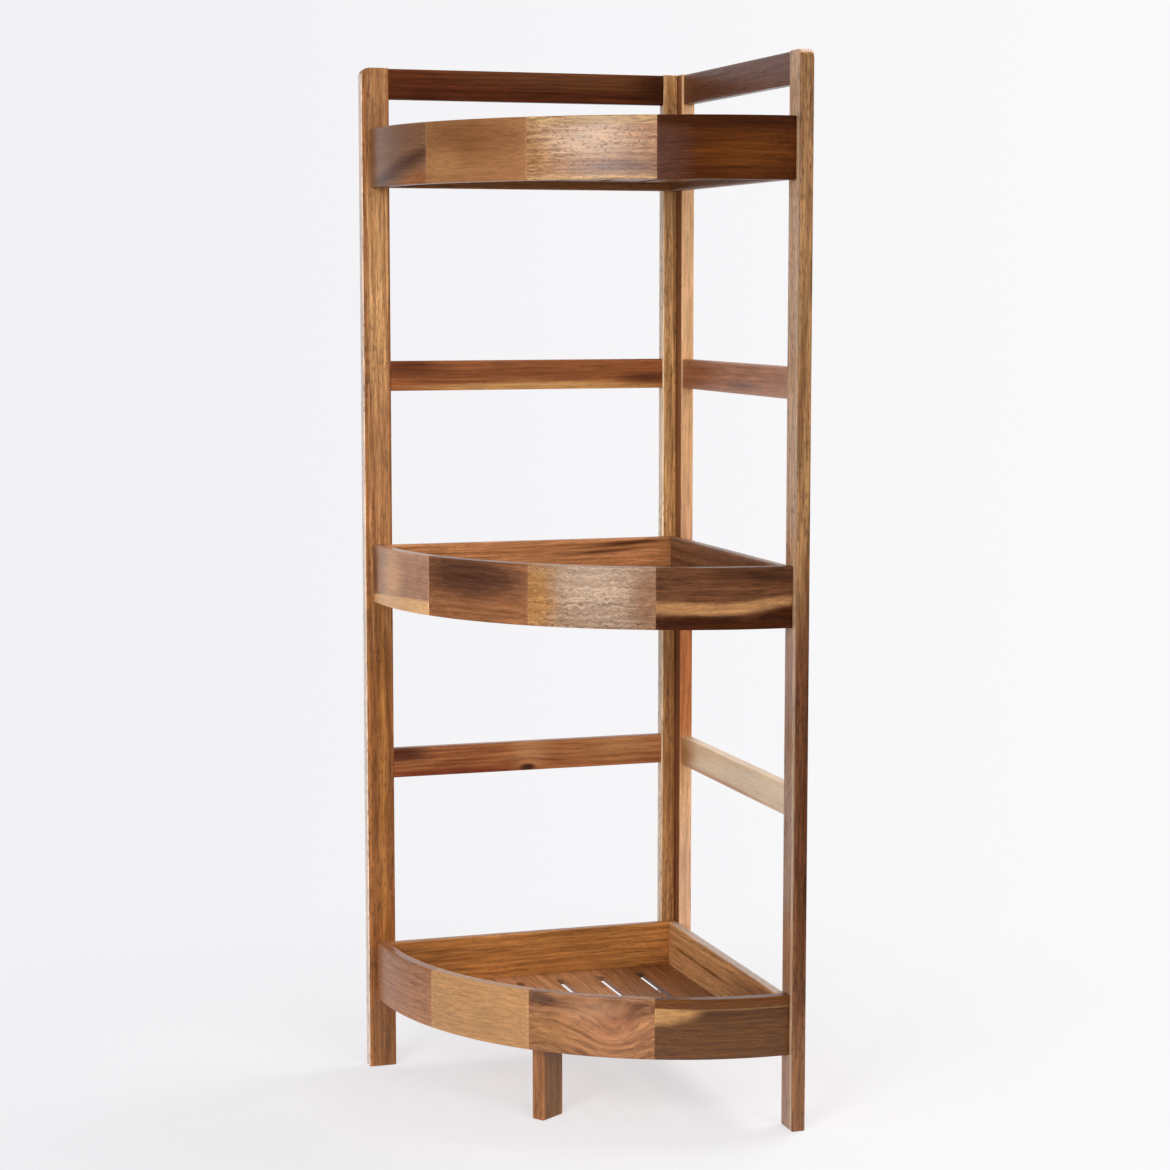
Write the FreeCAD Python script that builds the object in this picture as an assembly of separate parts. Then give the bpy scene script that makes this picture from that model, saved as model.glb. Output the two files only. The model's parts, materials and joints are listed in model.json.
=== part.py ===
"""Three-tier corner shelf unit in solid wood, sizes in millimetres, +Z up.

Two ladder frames meet at the back corner and carry three quarter-round trays. Every piece is laid out from that
corner: x runs along the left ladder, y along the right one. The finished pieces are then turned half way round and
moved, so that the origin is the middle of the footprint on the floor and the back corner lies at +X, +Y.
"""
import FreeCAD, Part
import math
import os
from FreeCAD import Placement, Rotation, Vector

# Overall sizes
HEIGHT = 880.0             # floor to the top of the posts
SPREAD = 300.0             # back corner to the outer edge of either front post
ARRIS = 0.8                # chamfer on the long edges of every stick and board

# Posts
POST_WIDTH = 24.5          # in the plane of the ladder
POST_THICK = 11.5
POST_TOP_ROUND = 8.0       # outer top corner of the two front posts

# Rails
RAIL_HEIGHT = 26.0
RAIL_SETBACK = 1.2         # rail faces lie this far inside the post faces
TOP_RAIL_DROP = 0.6        # post top to rail top
MIDDLE_RAIL_TOP = 628.5
LOW_RAIL_TOP = 286.5

# Trays
TOP_TRAY_DROP = 52.0       # post top to tray rim
MIDDLE_TRAY_EDGE = 418.0   # floor to the lower edge of the tray
BOTTOM_TRAY_EDGE = 63.0
TRAY_DEPTH = 50.5
TRAY_SETBACK = 7.7         # outer edge of a front post to the outer face of the curved front
TRAY_GAP = 0.3             # tray to the faces of the posts
ARC_INSET = 4.0            # centre of the front curve, inside the outer faces of the sides
SIDE_THICK = 8.0
FRONT_THICK = 10.0
FRONT_BLOCKS = 4
GLUE_LINE = 0.1

# Slotted floor of each tray
FLOOR_THICK = 4.0
FLOOR_RECESS = 7.0         # lower edge of the tray to the underside of the floor
GROOVE_DEPTH = 3.0
GROOVE_ROOM = 0.2          # left round the floor in its groove
SLOT_COUNT = 6
SLOT_WIDTH = 7.0
SLOT_MARGIN = 21.5         # ends of a slot to the side and to the curved front

# Front leg
LEG_WIDTH = 26.0
LEG_THICK = 12.0
LEG_BEARING = 46.0         # degrees from the left side, seen from the centre of the front curve
LEG_TWIST = -12.0          # degrees that the leg is turned away from that bearing
LEG_ROOM = 1.0             # leg to the inner face of the curved front

# Tenons on the rails
TENON_LENGTH = 10.0
TENON_THICK = 5.0
TENON_HEIGHT = 17.0
MORTISE_ROOM = 0.1         # round a tenon
MORTISE_END = 0.5          # past its end

# Dowels
DOWEL_RADIUS = 2.5
TRAY_DOWEL_LENGTH = 35.0
LEG_DOWEL_LENGTH = 30.0
DOWEL_ROOM = 0.05          # radial room round a dowel
DOWEL_END = 0.5            # room past its blind end

# Sizes that follow from the ones above
RAIL_THICK = POST_THICK - 2.0 * RAIL_SETBACK
RAIL_LENGTH = SPREAD - 2.0 * POST_WIDTH
RAIL_TOPS = {"top": HEIGHT - TOP_RAIL_DROP, "middle": MIDDLE_RAIL_TOP, "low": LOW_RAIL_TOP}
TRAY_EDGES = {
    "top": HEIGHT - TOP_TRAY_DROP - TRAY_DEPTH,
    "middle": MIDDLE_TRAY_EDGE,
    "bottom": BOTTOM_TRAY_EDGE,
}
TRAY_OUTSIDE = POST_THICK + TRAY_GAP
TRAY_INSIDE = TRAY_OUTSIDE + SIDE_THICK
ARC_CENTRE = TRAY_OUTSIDE + ARC_INSET
ARC_OUTER = SPREAD - TRAY_SETBACK - ARC_CENTRE
ARC_INNER = ARC_OUTER - FRONT_THICK
FRONT_MIDDLE = SPREAD - TRAY_SETBACK - FRONT_THICK / 2.0
BLOCK_ANGLE = 90.0 / FRONT_BLOCKS

UP = Vector(0, 0, 1)
ALONG_LEFT = Vector(1, 0, 0)
ALONG_RIGHT = Vector(0, 1, 0)


def section(width, depth):
    """Face in the XY plane from the origin to (width, depth), with its corners chamfered."""
    corners = [
        Vector(ARRIS, 0, 0),
        Vector(width - ARRIS, 0, 0),
        Vector(width, ARRIS, 0),
        Vector(width, depth - ARRIS, 0),
        Vector(width - ARRIS, depth, 0),
        Vector(ARRIS, depth, 0),
        Vector(0, depth - ARRIS, 0),
        Vector(0, ARRIS, 0),
    ]
    return Part.Face(Part.makePolygon(corners + corners[:1]))


def stick(width, depth, length):
    """Straight stick standing on the XY plane, with its long edges chamfered."""
    return section(width, depth).extrude(Vector(0, 0, length))


def aimed(shape, start, direction):
    """Shape that was built along +Z from the origin, moved to a start point and direction."""
    shape.Placement = Placement(start, Rotation(UP, direction))
    return shape


def dowel_at(surface, direction, length):
    """Dowel driven in from a point on a surface, flush with it."""
    return aimed(Part.makeCylinder(DOWEL_RADIUS, length), surface, direction)


def dowel_hole_at(surface, direction, length):
    """Hole for a dowel driven in from a point on a surface."""
    return aimed(Part.makeCylinder(DOWEL_RADIUS + DOWEL_ROOM, length + DOWEL_END), surface, direction)


def swapped(shape):
    """Mirror image across the diagonal, which turns a left-hand piece into a right-hand one."""
    return shape.mirror(Vector(0, 0, 0), Vector(1, -1, 0))


def tenon(shoulder, into_post, rail_top, room, spare):
    """Tenon of a left-hand rail past one shoulder, or its mortise when grown by a room and lengthened."""
    width = TENON_THICK + 2.0 * room
    height = TENON_HEIGHT + 2.0 * room
    length = TENON_LENGTH + spare
    low = Vector(min(shoulder, shoulder + into_post * length), (POST_THICK - width) / 2.0,
                 rail_top - (RAIL_HEIGHT + height) / 2.0)
    return Part.makeBox(length, width, height, low)


def rail_tenons(rail_top, room=0.0, spare=0.0):
    """Both tenons of a left-hand rail, or their mortises."""
    back = tenon(POST_WIDTH, -1, rail_top, room, spare)
    front = tenon(SPREAD - POST_WIDTH, 1, rail_top, room, spare)
    return [back, front]


def mortises():
    """Mortises for all rails of the left ladder."""
    return [hole for top in RAIL_TOPS.values() for hole in rail_tenons(top, MORTISE_ROOM, MORTISE_END)]


def front_post():
    """Front post of the left ladder, with its outer top corner rounded."""
    body = stick(POST_WIDTH, POST_THICK, HEIGHT)
    round_start = Vector(POST_WIDTH, 0, HEIGHT - POST_TOP_ROUND)
    round_end = Vector(POST_WIDTH - POST_TOP_ROUND, 0, HEIGHT)
    slant = POST_TOP_ROUND * (1.0 - math.sqrt(0.5))
    round_middle = Vector(POST_WIDTH - slant, 0, HEIGHT - slant)
    waste = [
        Part.Arc(round_start, round_middle, round_end).toShape(),
        Part.LineSegment(round_end, Vector(POST_WIDTH, 0, HEIGHT)).toShape(),
        Part.LineSegment(Vector(POST_WIDTH, 0, HEIGHT), round_start).toShape(),
    ]
    corner = Part.Face(Part.Wire(waste)).extrude(Vector(0, POST_THICK, 0))
    post = body.cut(corner)
    post.translate(Vector(SPREAD - POST_WIDTH, 0, 0))
    return post


def rail(rail_top):
    """Rail of the left ladder, tenoned into its two posts."""
    bar = stick(RAIL_HEIGHT, RAIL_THICK, RAIL_LENGTH)
    bar.rotate(Vector(0, 0, 0), Vector(0, 1, 0), 90)
    bar.translate(Vector(POST_WIDTH, RAIL_SETBACK, rail_top))
    return bar.fuse(rail_tenons(rail_top))


def tray_dowel_places(edge):
    """Surface points and directions of the three dowels that fix a tray to its posts."""
    middle = edge + TRAY_DEPTH / 2.0
    in_left_side = (TRAY_OUTSIDE + TRAY_INSIDE) / 2.0
    return [
        (Vector(FRONT_MIDDLE, 0, middle), ALONG_RIGHT),
        (Vector(0, FRONT_MIDDLE, middle), ALONG_LEFT),
        (Vector(0, in_left_side, middle), ALONG_LEFT),
    ]


def tray_dowel_holes(edge):
    """Holes of the dowels that fix a tray to its posts."""
    return [dowel_hole_at(point, way, TRAY_DOWEL_LENGTH) for point, way in tray_dowel_places(edge)]


def post_dowel_holes():
    """Holes of the dowels of every tray."""
    return [hole for edge in TRAY_EDGES.values() for hole in tray_dowel_holes(edge)]


def left_ladder():
    """Posts and rails of the left ladder, whose narrower back post is glued to the other ladder's."""
    back = stick(POST_WIDTH - POST_THICK - GLUE_LINE, POST_THICK, HEIGHT)
    back.translate(Vector(POST_THICK + GLUE_LINE, 0, 0))
    pieces = {
        "left_front_post": front_post().cut(mortises() + post_dowel_holes()),
        "left_back_post": back.cut(mortises()),
    }
    for name, rail_top in RAIL_TOPS.items():
        pieces["left_%s_rail" % name] = rail(rail_top)
    return pieces


def right_ladder():
    """Posts and rails of the right ladder, the mirror image of the left one but for its wider back post."""
    holes = [swapped(hole) for hole in mortises()] + post_dowel_holes()
    pieces = {
        "right_front_post": swapped(front_post()).cut(holes),
        "right_back_post": stick(POST_THICK, POST_WIDTH, HEIGHT).cut(holes),
    }
    for name, rail_top in RAIL_TOPS.items():
        pieces["right_%s_rail" % name] = swapped(rail(rail_top))
    return pieces


def side_board(start, edge):
    """Straight side of a tray along the left ladder, from a start distance to the curved front, with its groove."""
    length = ARC_CENTRE + ARC_INNER - GLUE_LINE - start
    board = stick(TRAY_DEPTH, SIDE_THICK, length)
    board.rotate(Vector(0, 0, 0), Vector(0, 1, 0), 90)
    board.translate(Vector(start, TRAY_OUTSIDE, edge + TRAY_DEPTH))
    groove_height = FLOOR_THICK + GROOVE_ROOM
    groove_start = Vector(start, TRAY_INSIDE - GROOVE_DEPTH, edge + FLOOR_RECESS)
    groove = Part.makeBox(length, GROOVE_DEPTH, groove_height, groove_start)
    return board.cut(groove)


def ring_part(face, first, last):
    """Face in the XZ plane, with X as radius, turned about the centre of the front curve between two angles."""
    part = face.revolve(Vector(0, 0, 0), UP, last - first)
    part.rotate(Vector(0, 0, 0), UP, first)
    part.translate(Vector(ARC_CENTRE, ARC_CENTRE, 0))
    return part


def front_section(edge):
    """Section of the curved front, with its two outer edges chamfered."""
    corners = [
        Vector(ARC_INNER, 0, edge),
        Vector(ARC_OUTER - ARRIS, 0, edge),
        Vector(ARC_OUTER, 0, edge + ARRIS),
        Vector(ARC_OUTER, 0, edge + TRAY_DEPTH - ARRIS),
        Vector(ARC_OUTER - ARRIS, 0, edge + TRAY_DEPTH),
        Vector(ARC_INNER, 0, edge + TRAY_DEPTH),
    ]
    return Part.Face(Part.makePolygon(corners + corners[:1]))


def front_block(index, edge):
    """One of the butt-jointed blocks of a curved front, counted from the left ladder."""
    first = index * BLOCK_ANGLE
    block = ring_part(front_section(edge), first, first + BLOCK_ANGLE)
    if index == 0:
        block = block.fuse(straight_end(edge))
    if index == FRONT_BLOCKS - 1:
        block = block.fuse(swapped(straight_end(edge)))
    groove_face = Part.Face(Part.makePolygon([
        Vector(ARC_INNER - GROOVE_DEPTH, 0, edge + FLOOR_RECESS),
        Vector(ARC_INNER + GROOVE_DEPTH, 0, edge + FLOOR_RECESS),
        Vector(ARC_INNER + GROOVE_DEPTH, 0, edge + FLOOR_RECESS + FLOOR_THICK + GROOVE_ROOM),
        Vector(ARC_INNER - GROOVE_DEPTH, 0, edge + FLOOR_RECESS + FLOOR_THICK + GROOVE_ROOM),
        Vector(ARC_INNER - GROOVE_DEPTH, 0, edge + FLOOR_RECESS),
    ]))
    return block.cut(ring_part(groove_face, 0.0, 90.0)).removeSplitter()


def straight_end(edge):
    """Short straight end of a curved front, which covers the end of the left side."""
    end = front_section(edge).extrude(Vector(0, -ARC_INSET, 0))
    end.translate(Vector(ARC_CENTRE, ARC_CENTRE, 0))
    return end


def slot(index):
    """Cutter for one slot of a tray floor, as long as the curved front allows."""
    pitch = (ARC_CENTRE + ARC_INNER - TRAY_INSIDE) / (SLOT_COUNT + 1)
    x = TRAY_INSIDE + pitch * (index + 1)
    outer_edge = x + SLOT_WIDTH / 2.0 - ARC_CENTRE
    radius = SLOT_WIDTH / 2.0
    first = TRAY_INSIDE + SLOT_MARGIN + radius
    last = ARC_CENTRE + math.sqrt(ARC_INNER ** 2 - outer_edge ** 2) - SLOT_MARGIN - radius
    middle = Part.makeBox(SLOT_WIDTH, last - first, FLOOR_THICK, Vector(x - radius, first, 0))
    ends = [Part.makeCylinder(radius, FLOOR_THICK, Vector(x, y, 0)) for y in (first, last)]
    return middle.fuse(ends).removeSplitter()


def slotted_floor(edge):
    """Slotted floor of a tray, held in the grooves of its sides and front."""
    near = TRAY_INSIDE - GROOVE_DEPTH + GROOVE_ROOM
    radius = ARC_INNER + GROOVE_DEPTH - GROOVE_ROOM
    far = ARC_CENTRE + math.sqrt(radius ** 2 - (near - ARC_CENTRE) ** 2)
    halfway = ARC_CENTRE + radius * math.sqrt(0.5)
    outline = [
        Part.LineSegment(Vector(near, near, 0), Vector(far, near, 0)).toShape(),
        Part.Arc(Vector(far, near, 0), Vector(halfway, halfway, 0), Vector(near, far, 0)).toShape(),
        Part.LineSegment(Vector(near, far, 0), Vector(near, near, 0)).toShape(),
    ]
    board = Part.Face(Part.Wire(outline)).extrude(Vector(0, 0, FLOOR_THICK))
    board = board.cut([slot(index) for index in range(SLOT_COUNT)])
    board.translate(Vector(0, 0, edge + FLOOR_RECESS))
    return board


def tray(name, edge):
    """Sides, front blocks, floor and dowels of one tray."""
    holes = tray_dowel_holes(edge)
    pieces = {
        "%s_tray_left_side" % name: side_board(TRAY_OUTSIDE, edge).cut(holes),
        "%s_tray_right_side" % name: swapped(side_board(TRAY_INSIDE + GLUE_LINE, edge)),
    }
    for index in range(FRONT_BLOCKS):
        block = front_block(index, edge)
        at_post = index in (0, FRONT_BLOCKS - 1)
        pieces["%s_tray_front_block_%d" % (name, index + 1)] = block.cut(holes) if at_post else block
    pieces["%s_tray_slotted_floor" % name] = slotted_floor(edge)
    dowels = [dowel_at(point, way, TRAY_DOWEL_LENGTH) for point, way in tray_dowel_places(edge)]
    pieces["%s_tray_dowels" % name] = Part.makeCompound(dowels)
    return pieces


def leg_centre():
    """Middle of the front leg on the floor, just inside the curved front."""
    twist = math.radians(LEG_TWIST)
    reach = (LEG_WIDTH * math.cos(twist) + LEG_THICK * abs(math.sin(twist))) / 2.0
    radius = ARC_INNER - LEG_ROOM - reach
    bearing = math.radians(LEG_BEARING)
    return Vector(ARC_CENTRE + radius * math.cos(bearing), ARC_CENTRE + radius * math.sin(bearing), 0)


def leg_dowel_point():
    """Upper face of the bottom tray's floor, over the middle of the leg."""
    return leg_centre() + UP * (BOTTOM_TRAY_EDGE + FLOOR_RECESS + FLOOR_THICK)


def front_leg():
    """Short leg under the bottom tray, up to the underside of its floor."""
    leg = stick(LEG_WIDTH, LEG_THICK, BOTTOM_TRAY_EDGE + FLOOR_RECESS)
    leg.translate(Vector(-LEG_WIDTH / 2.0, -LEG_THICK / 2.0, 0))
    leg.rotate(Vector(0, 0, 0), UP, LEG_BEARING + LEG_TWIST)
    leg.translate(leg_centre())
    return leg


def shelf_unit():
    """Every piece of the corner shelf, by name."""
    pieces = left_ladder()
    pieces.update(right_ladder())
    for name, edge in TRAY_EDGES.items():
        pieces.update(tray(name, edge))
    leg_hole = dowel_hole_at(leg_dowel_point(), UP * -1.0, LEG_DOWEL_LENGTH)
    pieces["front_leg"] = front_leg().cut(leg_hole)
    pieces["bottom_tray_slotted_floor"] = pieces["bottom_tray_slotted_floor"].cut(leg_hole)
    pieces["front_leg_dowel"] = dowel_at(leg_dowel_point(), UP * -1.0, LEG_DOWEL_LENGTH)
    return pieces


def main():
    """Write each piece, turned to the row's frame, to its own file."""
    os.makedirs("parts", exist_ok=True)
    for name, shape in shelf_unit().items():
        shape.rotate(Vector(0, 0, 0), UP, 180)
        shape.translate(Vector(SPREAD / 2.0, SPREAD / 2.0, 0))
        shape.exportStep(os.path.join("parts", name + ".step"))
        solids = shape.Solids
        print("%-32s %2d solids %10.1f mm3 valid %s" % (name, len(solids), shape.Volume, shape.isValid()))


main()
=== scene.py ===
"""Look of the corner shelf unit: oiled hardwood boards of mixed tones, in a plain studio.

Each board is rebuilt over its CAD node with eased edges and takes its own cut of timber: growth rings about
a pith line, fibres, pores and zones of other tones, all in the board's own axes. Some zones are painted
highlights, painted reflections and painted shade rather than the timber's own tone. Lengths are in metres,
but in millimetres in the finishes.
"""

import json
import logging
import math
from collections.abc import Callable, Sequence
from dataclasses import dataclass
from enum import Enum
from functools import reduce
from typing import Self

import bmesh
import bpy
from mathutils import Matrix, Vector

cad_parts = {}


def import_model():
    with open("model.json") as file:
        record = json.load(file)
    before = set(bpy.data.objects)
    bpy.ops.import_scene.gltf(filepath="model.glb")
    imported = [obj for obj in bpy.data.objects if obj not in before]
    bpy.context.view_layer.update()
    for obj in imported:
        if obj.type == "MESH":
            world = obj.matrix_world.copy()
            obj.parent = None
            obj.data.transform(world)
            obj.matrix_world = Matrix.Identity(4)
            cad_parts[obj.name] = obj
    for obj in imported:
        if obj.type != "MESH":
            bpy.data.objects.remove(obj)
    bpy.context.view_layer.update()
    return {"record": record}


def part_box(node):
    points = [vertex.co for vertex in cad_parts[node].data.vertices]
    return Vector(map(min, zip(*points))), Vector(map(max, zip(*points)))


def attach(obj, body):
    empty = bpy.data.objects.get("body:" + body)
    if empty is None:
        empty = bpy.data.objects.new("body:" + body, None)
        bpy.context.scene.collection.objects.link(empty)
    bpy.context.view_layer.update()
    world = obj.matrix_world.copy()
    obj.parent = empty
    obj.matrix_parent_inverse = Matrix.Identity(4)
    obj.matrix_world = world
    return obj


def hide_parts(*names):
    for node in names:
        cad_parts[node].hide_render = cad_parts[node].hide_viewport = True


LOG = logging.getLogger("corner_shelf")
BODY = "root"
MM = 0.001
RIGHT_ANGLE = math.radians(90.0)
HALF_TURN = math.radians(180.0)

# Edges, holes and curves

EASE = 1.0 * MM            # rounding of the long edges
JOINT_EASE = 0.3 * MM      # rounding at butt joints
SUPPORT = 1.5 * MM         # flat strip beside each rounded edge
ARC_STEPS = 3              # facets of a rounded edge
CORNER_STEPS = 9           # facets of a post's rounded top corner
EDGE_WEAR_AND_SHEEN = 1.0            # wear and painted sheen in the middle of a rounded edge
RIM_WEAR_AND_SHEEN = 0.6             # wear and painted sheen where a rounded edge begins
SHARP_ANGLE = math.radians(40.0)
HOLE_SIDES = 32
DOWEL_SIDES = 72
CURVE_POINTS = 97          # points along the curved side of a tray's floor
WELD = 0.01 * MM           # distance at which a floor's loose corners are joined
CUTTER_DEPTH = 3.0         # depth of a slot's cutter, in thicknesses of the floor

# Surface of the wood

SURFACE_SHEEN = 0.024      # part of a seen tone that is reflection from the surface, at full gloss
LEAST_COLOUR = 0.003
WOOD_IOR = 1.48
BUMP_STRENGTH = 0.25
BUMP_DEPTH = 0.25 * MM

X_AXIS = Vector((1.0, 0.0, 0.0))
Y_AXIS = Vector((0.0, 1.0, 0.0))
Z_AXIS = Vector((0.0, 0.0, 1.0))

FLOAT = "NodeSocketFloat"
VECTOR = "NodeSocketVector"
COLOUR = "NodeSocketColor"
WHOLE = "NodeSocketInt"
GEOMETRY = "NodeSocketGeometry"
MATERIAL = "NodeSocketMaterial"

Tone = tuple[int, int, int]
Triple = tuple[float, float, float]
Colour = tuple[float, float, float, float]
Placer = Callable[[float, float, float], Vector]
Piece = bpy.types.Object
Material = bpy.types.Material
NodeTree = bpy.types.NodeTree
Socket = bpy.types.NodeSocket
Outputs = bpy.types.NodeOutputs


class Side(Enum):
    """The two ladders, as seen from the front."""

    LEFT = "left"
    RIGHT = "right"


class Level(Enum):
    """The three trays."""

    TOP = "top"
    MIDDLE = "middle"
    BOTTOM = "bottom"


# Finishes


@dataclass(frozen=True)
class Patch:
    """Soft-edged zone of other tones on a board's face, as an ellipse about a point of the face. Besides the
    timber's own tones, some zones are painted highlights, painted reflections and painted shade.
    """

    centre: tuple[float, float]
    radius: tuple[float, float]
    light: Tone
    dark: Tone
    tilt: float = 0.0
    softness: float = 0.4
    wobble: float = 0.3


@dataclass(frozen=True)
class Timber:
    """One board's cut of timber: its tones as seen in plain light, its grain and its zones of other tones.

    A knot is given by its place along and across the board and its size. Its length is in parts of its width.
    """

    light: Tone
    dark: Tone
    seed: float
    ring: float = 3.5
    pith: tuple[float, float] = (60.0, -22.0)
    slope: float = 0.04
    wander: float = 5.0
    curl: float = 0.0
    curl_size: float = 20.0
    knot: Triple = (0.0, 0.0, 0.0)
    knot_length: float = 1.67
    flecks: float = 0.6
    fleck_length: float = 5.0
    gloss: float = 0.5
    patches: tuple[Patch, ...] = ()


@dataclass(frozen=True)
class Layer:
    """Layer of a timber's figure: a noise with its waves a metre along, across and out of the board.

    The detail is the noise's own, and the values from low to high are stretched to 0 to 1.
    """

    waves: Triple
    detail: float
    low: float = 0.0
    high: float = 1.0


DRIFT = Layer((5.0, 16.0, 16.0), 1.0)
TONES = Layer((8.0, 24.0, 24.0), 2.0)
ZONES = Layer((14.0, 50.0, 50.0), 2.0, 0.38, 0.62)
LINES = Layer((14.0, 380.0, 380.0), 3.0, 0.28, 0.72)
FIBRES = Layer((42.0, 760.0, 760.0), 3.0, 0.30, 0.70)
FLECKS = Layer((0.0, 700.0, 700.0), 0.0, 0.55, 0.72)    # along, a board's own fleck length counts
RINGS = Layer((1.6, 1.0, 9.7), 3.0, 0.30, 0.70)         # waves a metre along, for each ring and for each seed
OUTLINE = Layer((30.0, 110.0, 110.0), 3.0)
CURL_DETAIL = 2.5
SEED_SHIFT = (7.3, 3.1, 1.0)       # steps through the noise from one seed to the next
PATCH_SEED = 5.3                   # the same for the outline of a patch
STAVE_SHIFT = (3.0, 0.02, 0.02)    # largest shift between the cuts of two staves
STAVE_JOINT = (0.485, 0.497)       # glue joint's soft edge, in stave widths from the stave's middle
MID_GREY = (0.5, 0.5, 0.5)
LEAST_SQUARE = 1e-9                # keeps the middle of a knot from a division by zero

LADDER_TIMBER = {
    "left_front_post": Timber(
        (236, 180, 120), (164, 110, 66), 1.0, ring=4.0, flecks=0.95, fleck_length=6.0,
        patches=(
            Patch((440, 0), (100, 60), (179, 127, 81), (134, 86, 51), softness=0.3, wobble=0.1),
            Patch((60, 0), (110, 60), (196, 142, 94), (148, 94, 58), softness=0.5, wobble=0.1),
            Patch((-260, 0), (230, 60), (161, 105, 61), (117, 70, 40), softness=0.2, wobble=0.1),
            Patch((-200, -2), (150, 3), (196, 134, 72), (156, 98, 50), softness=0.8),
            Patch((-420, 0), (70, 60), (166, 114, 71), (122, 75, 40), softness=0.5, wobble=0.1),
            Patch((100, 10.0), (800, 1.6), (188, 126, 74), (134, 82, 46), softness=0.6),
            Patch((100, -11.6), (800, 1.6), (180, 118, 70), (124, 76, 44), softness=0.6),
            # painted highlight: near-white strip along the lit left edge
            Patch((0, 12.6), (900, 1.0), (250, 226, 208), (236, 206, 184), softness=0.3, wobble=0.0),
        )),
    "left_back_post": Timber(
        (230, 176, 116), (150, 104, 62), 2.0, ring=3.0, flecks=1.0, fleck_length=6.0,
        patches=(
            Patch((-330, 0), (330, 40), (198, 142, 90), (138, 92, 56), softness=0.2, wobble=0.1),
            # painted highlight: near-white strip along the lit edge
            Patch((0, 9), (600, 3.5), (250, 226, 196), (232, 200, 164), softness=0.2, wobble=0.0),
        )),
    "right_back_post": Timber(
        (252, 202, 151), (211, 157, 109), 3.0, ring=5.0, flecks=0.4, fleck_length=5.0,
        patches=(
            Patch((-10, 0), (90, 60), (243, 188, 145), (206, 151, 112), softness=0.6, wobble=0.2),
            Patch((-80, 0), (80, 60), (228, 146, 91), (175, 100, 57), softness=0.3, wobble=0.1),
            Patch((-300, 0), (80, 60), (240, 194, 156), (202, 151, 115), softness=0.5, wobble=0.2),
            # painted shade: the broad face in the corner beside the other back post is darkened
            Patch((0, 4), (900, 15.5), (156, 104, 72), (112, 68, 46), softness=0.1, wobble=0.0),
        )),
    "right_front_post": Timber(
        (184, 138, 91), (117, 78, 48), 4.0, ring=3.0, flecks=1.0, fleck_length=6.0,
        patches=(
            Patch((-190, 0), (200, 60), (122, 78, 52), (76, 46, 30), softness=0.3, wobble=0.1),
            Patch((-420, 0), (60, 60), (150, 102, 65), (96, 62, 40), softness=0.5, wobble=0.1),
            # paler, greyer broad face: partly the wood's tone, partly a painted sheen
            Patch((0, 6), (900, 16.5), (224, 178, 139), (182, 139, 102), softness=0.12, wobble=0.0),
            Patch((-300, 6), (340, 16.5), (186, 140, 110), (150, 108, 80), softness=0.12, wobble=0.0),
            # painted highlight: pale line towards the edge by the end face
            Patch((0, -8), (900, 2.4), (222, 184, 148), (196, 156, 122), softness=0.6),
        )),
    "left_top_rail": Timber(
        (108, 57, 30), (64, 29, 14), 5.0, ring=3.0, slope=0.02, flecks=0.4, gloss=0.08,
        patches=(
            Patch((40, 7), (90, 7), (118, 72, 42), (88, 50, 28), tilt=-2.0, softness=0.8),
            Patch((-80, -5), (60, 8), (98, 48, 26), (66, 30, 14), softness=0.8),
            Patch((124, -2), (20, 18), (74, 40, 22), (54, 28, 14), softness=0.8),
        )),
    "left_middle_rail": Timber((167, 102, 59), (126, 70, 39), 6.0, wander=9.0, flecks=0.4, patches=(
        Patch((-112, 8), (30, 8), (128, 72, 42), (98, 52, 30), softness=0.8),
        Patch((16, -13), (96, 6.5), (216, 164, 102), (186, 130, 76), softness=0.6),
        Patch((110, -3), (24, 4), (106, 62, 38), (78, 44, 25), softness=0.8),
    )),
    "left_low_rail": Timber(
        (188, 120, 74), (114, 60, 35), 7.0, ring=2.8, wander=9.0, flecks=0.4, knot=(-2.0, -10.0, 7.0),
        patches=(
            Patch((-118, 8), (24, 7), (98, 56, 37), (70, 37, 24), softness=0.7),
            Patch((-80, -11), (70, 4.5), (138, 70, 42), (100, 45, 26), softness=0.6),
            Patch((84, 4), (40, 8), (194, 140, 90), (152, 94, 56), softness=0.9),
            Patch((1, 4), (15, 10), (202, 146, 98), (154, 98, 62), softness=0.9),
            Patch((-2, -10), (7, 3.4), (82, 50, 35), (54, 31, 22), softness=0.5, wobble=0.4),
        )),
    "right_top_rail": Timber((123, 76, 53), (95, 56, 39), 8.0, ring=3.0, flecks=0.3),
    "right_middle_rail": Timber((203, 145, 114), (160, 108, 80), 9.0, flecks=0.4, patches=(
        Patch((-100, 0), (50, 20), (180, 115, 80), (144, 86, 58), softness=0.8),
        Patch((25, -6), (32, 3), (148, 110, 94), (118, 86, 73), softness=0.8),
    )),
    "right_low_rail": Timber((241, 215, 182), (228, 196, 158), 10.0, flecks=0.0, patches=(
        Patch((-30, -13), (110, 4), (206, 156, 112), (178, 126, 86), softness=0.6),
        Patch((-122, 0), (26, 18), (196, 144, 96), (166, 112, 70), softness=0.8),
    )),
}

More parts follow.
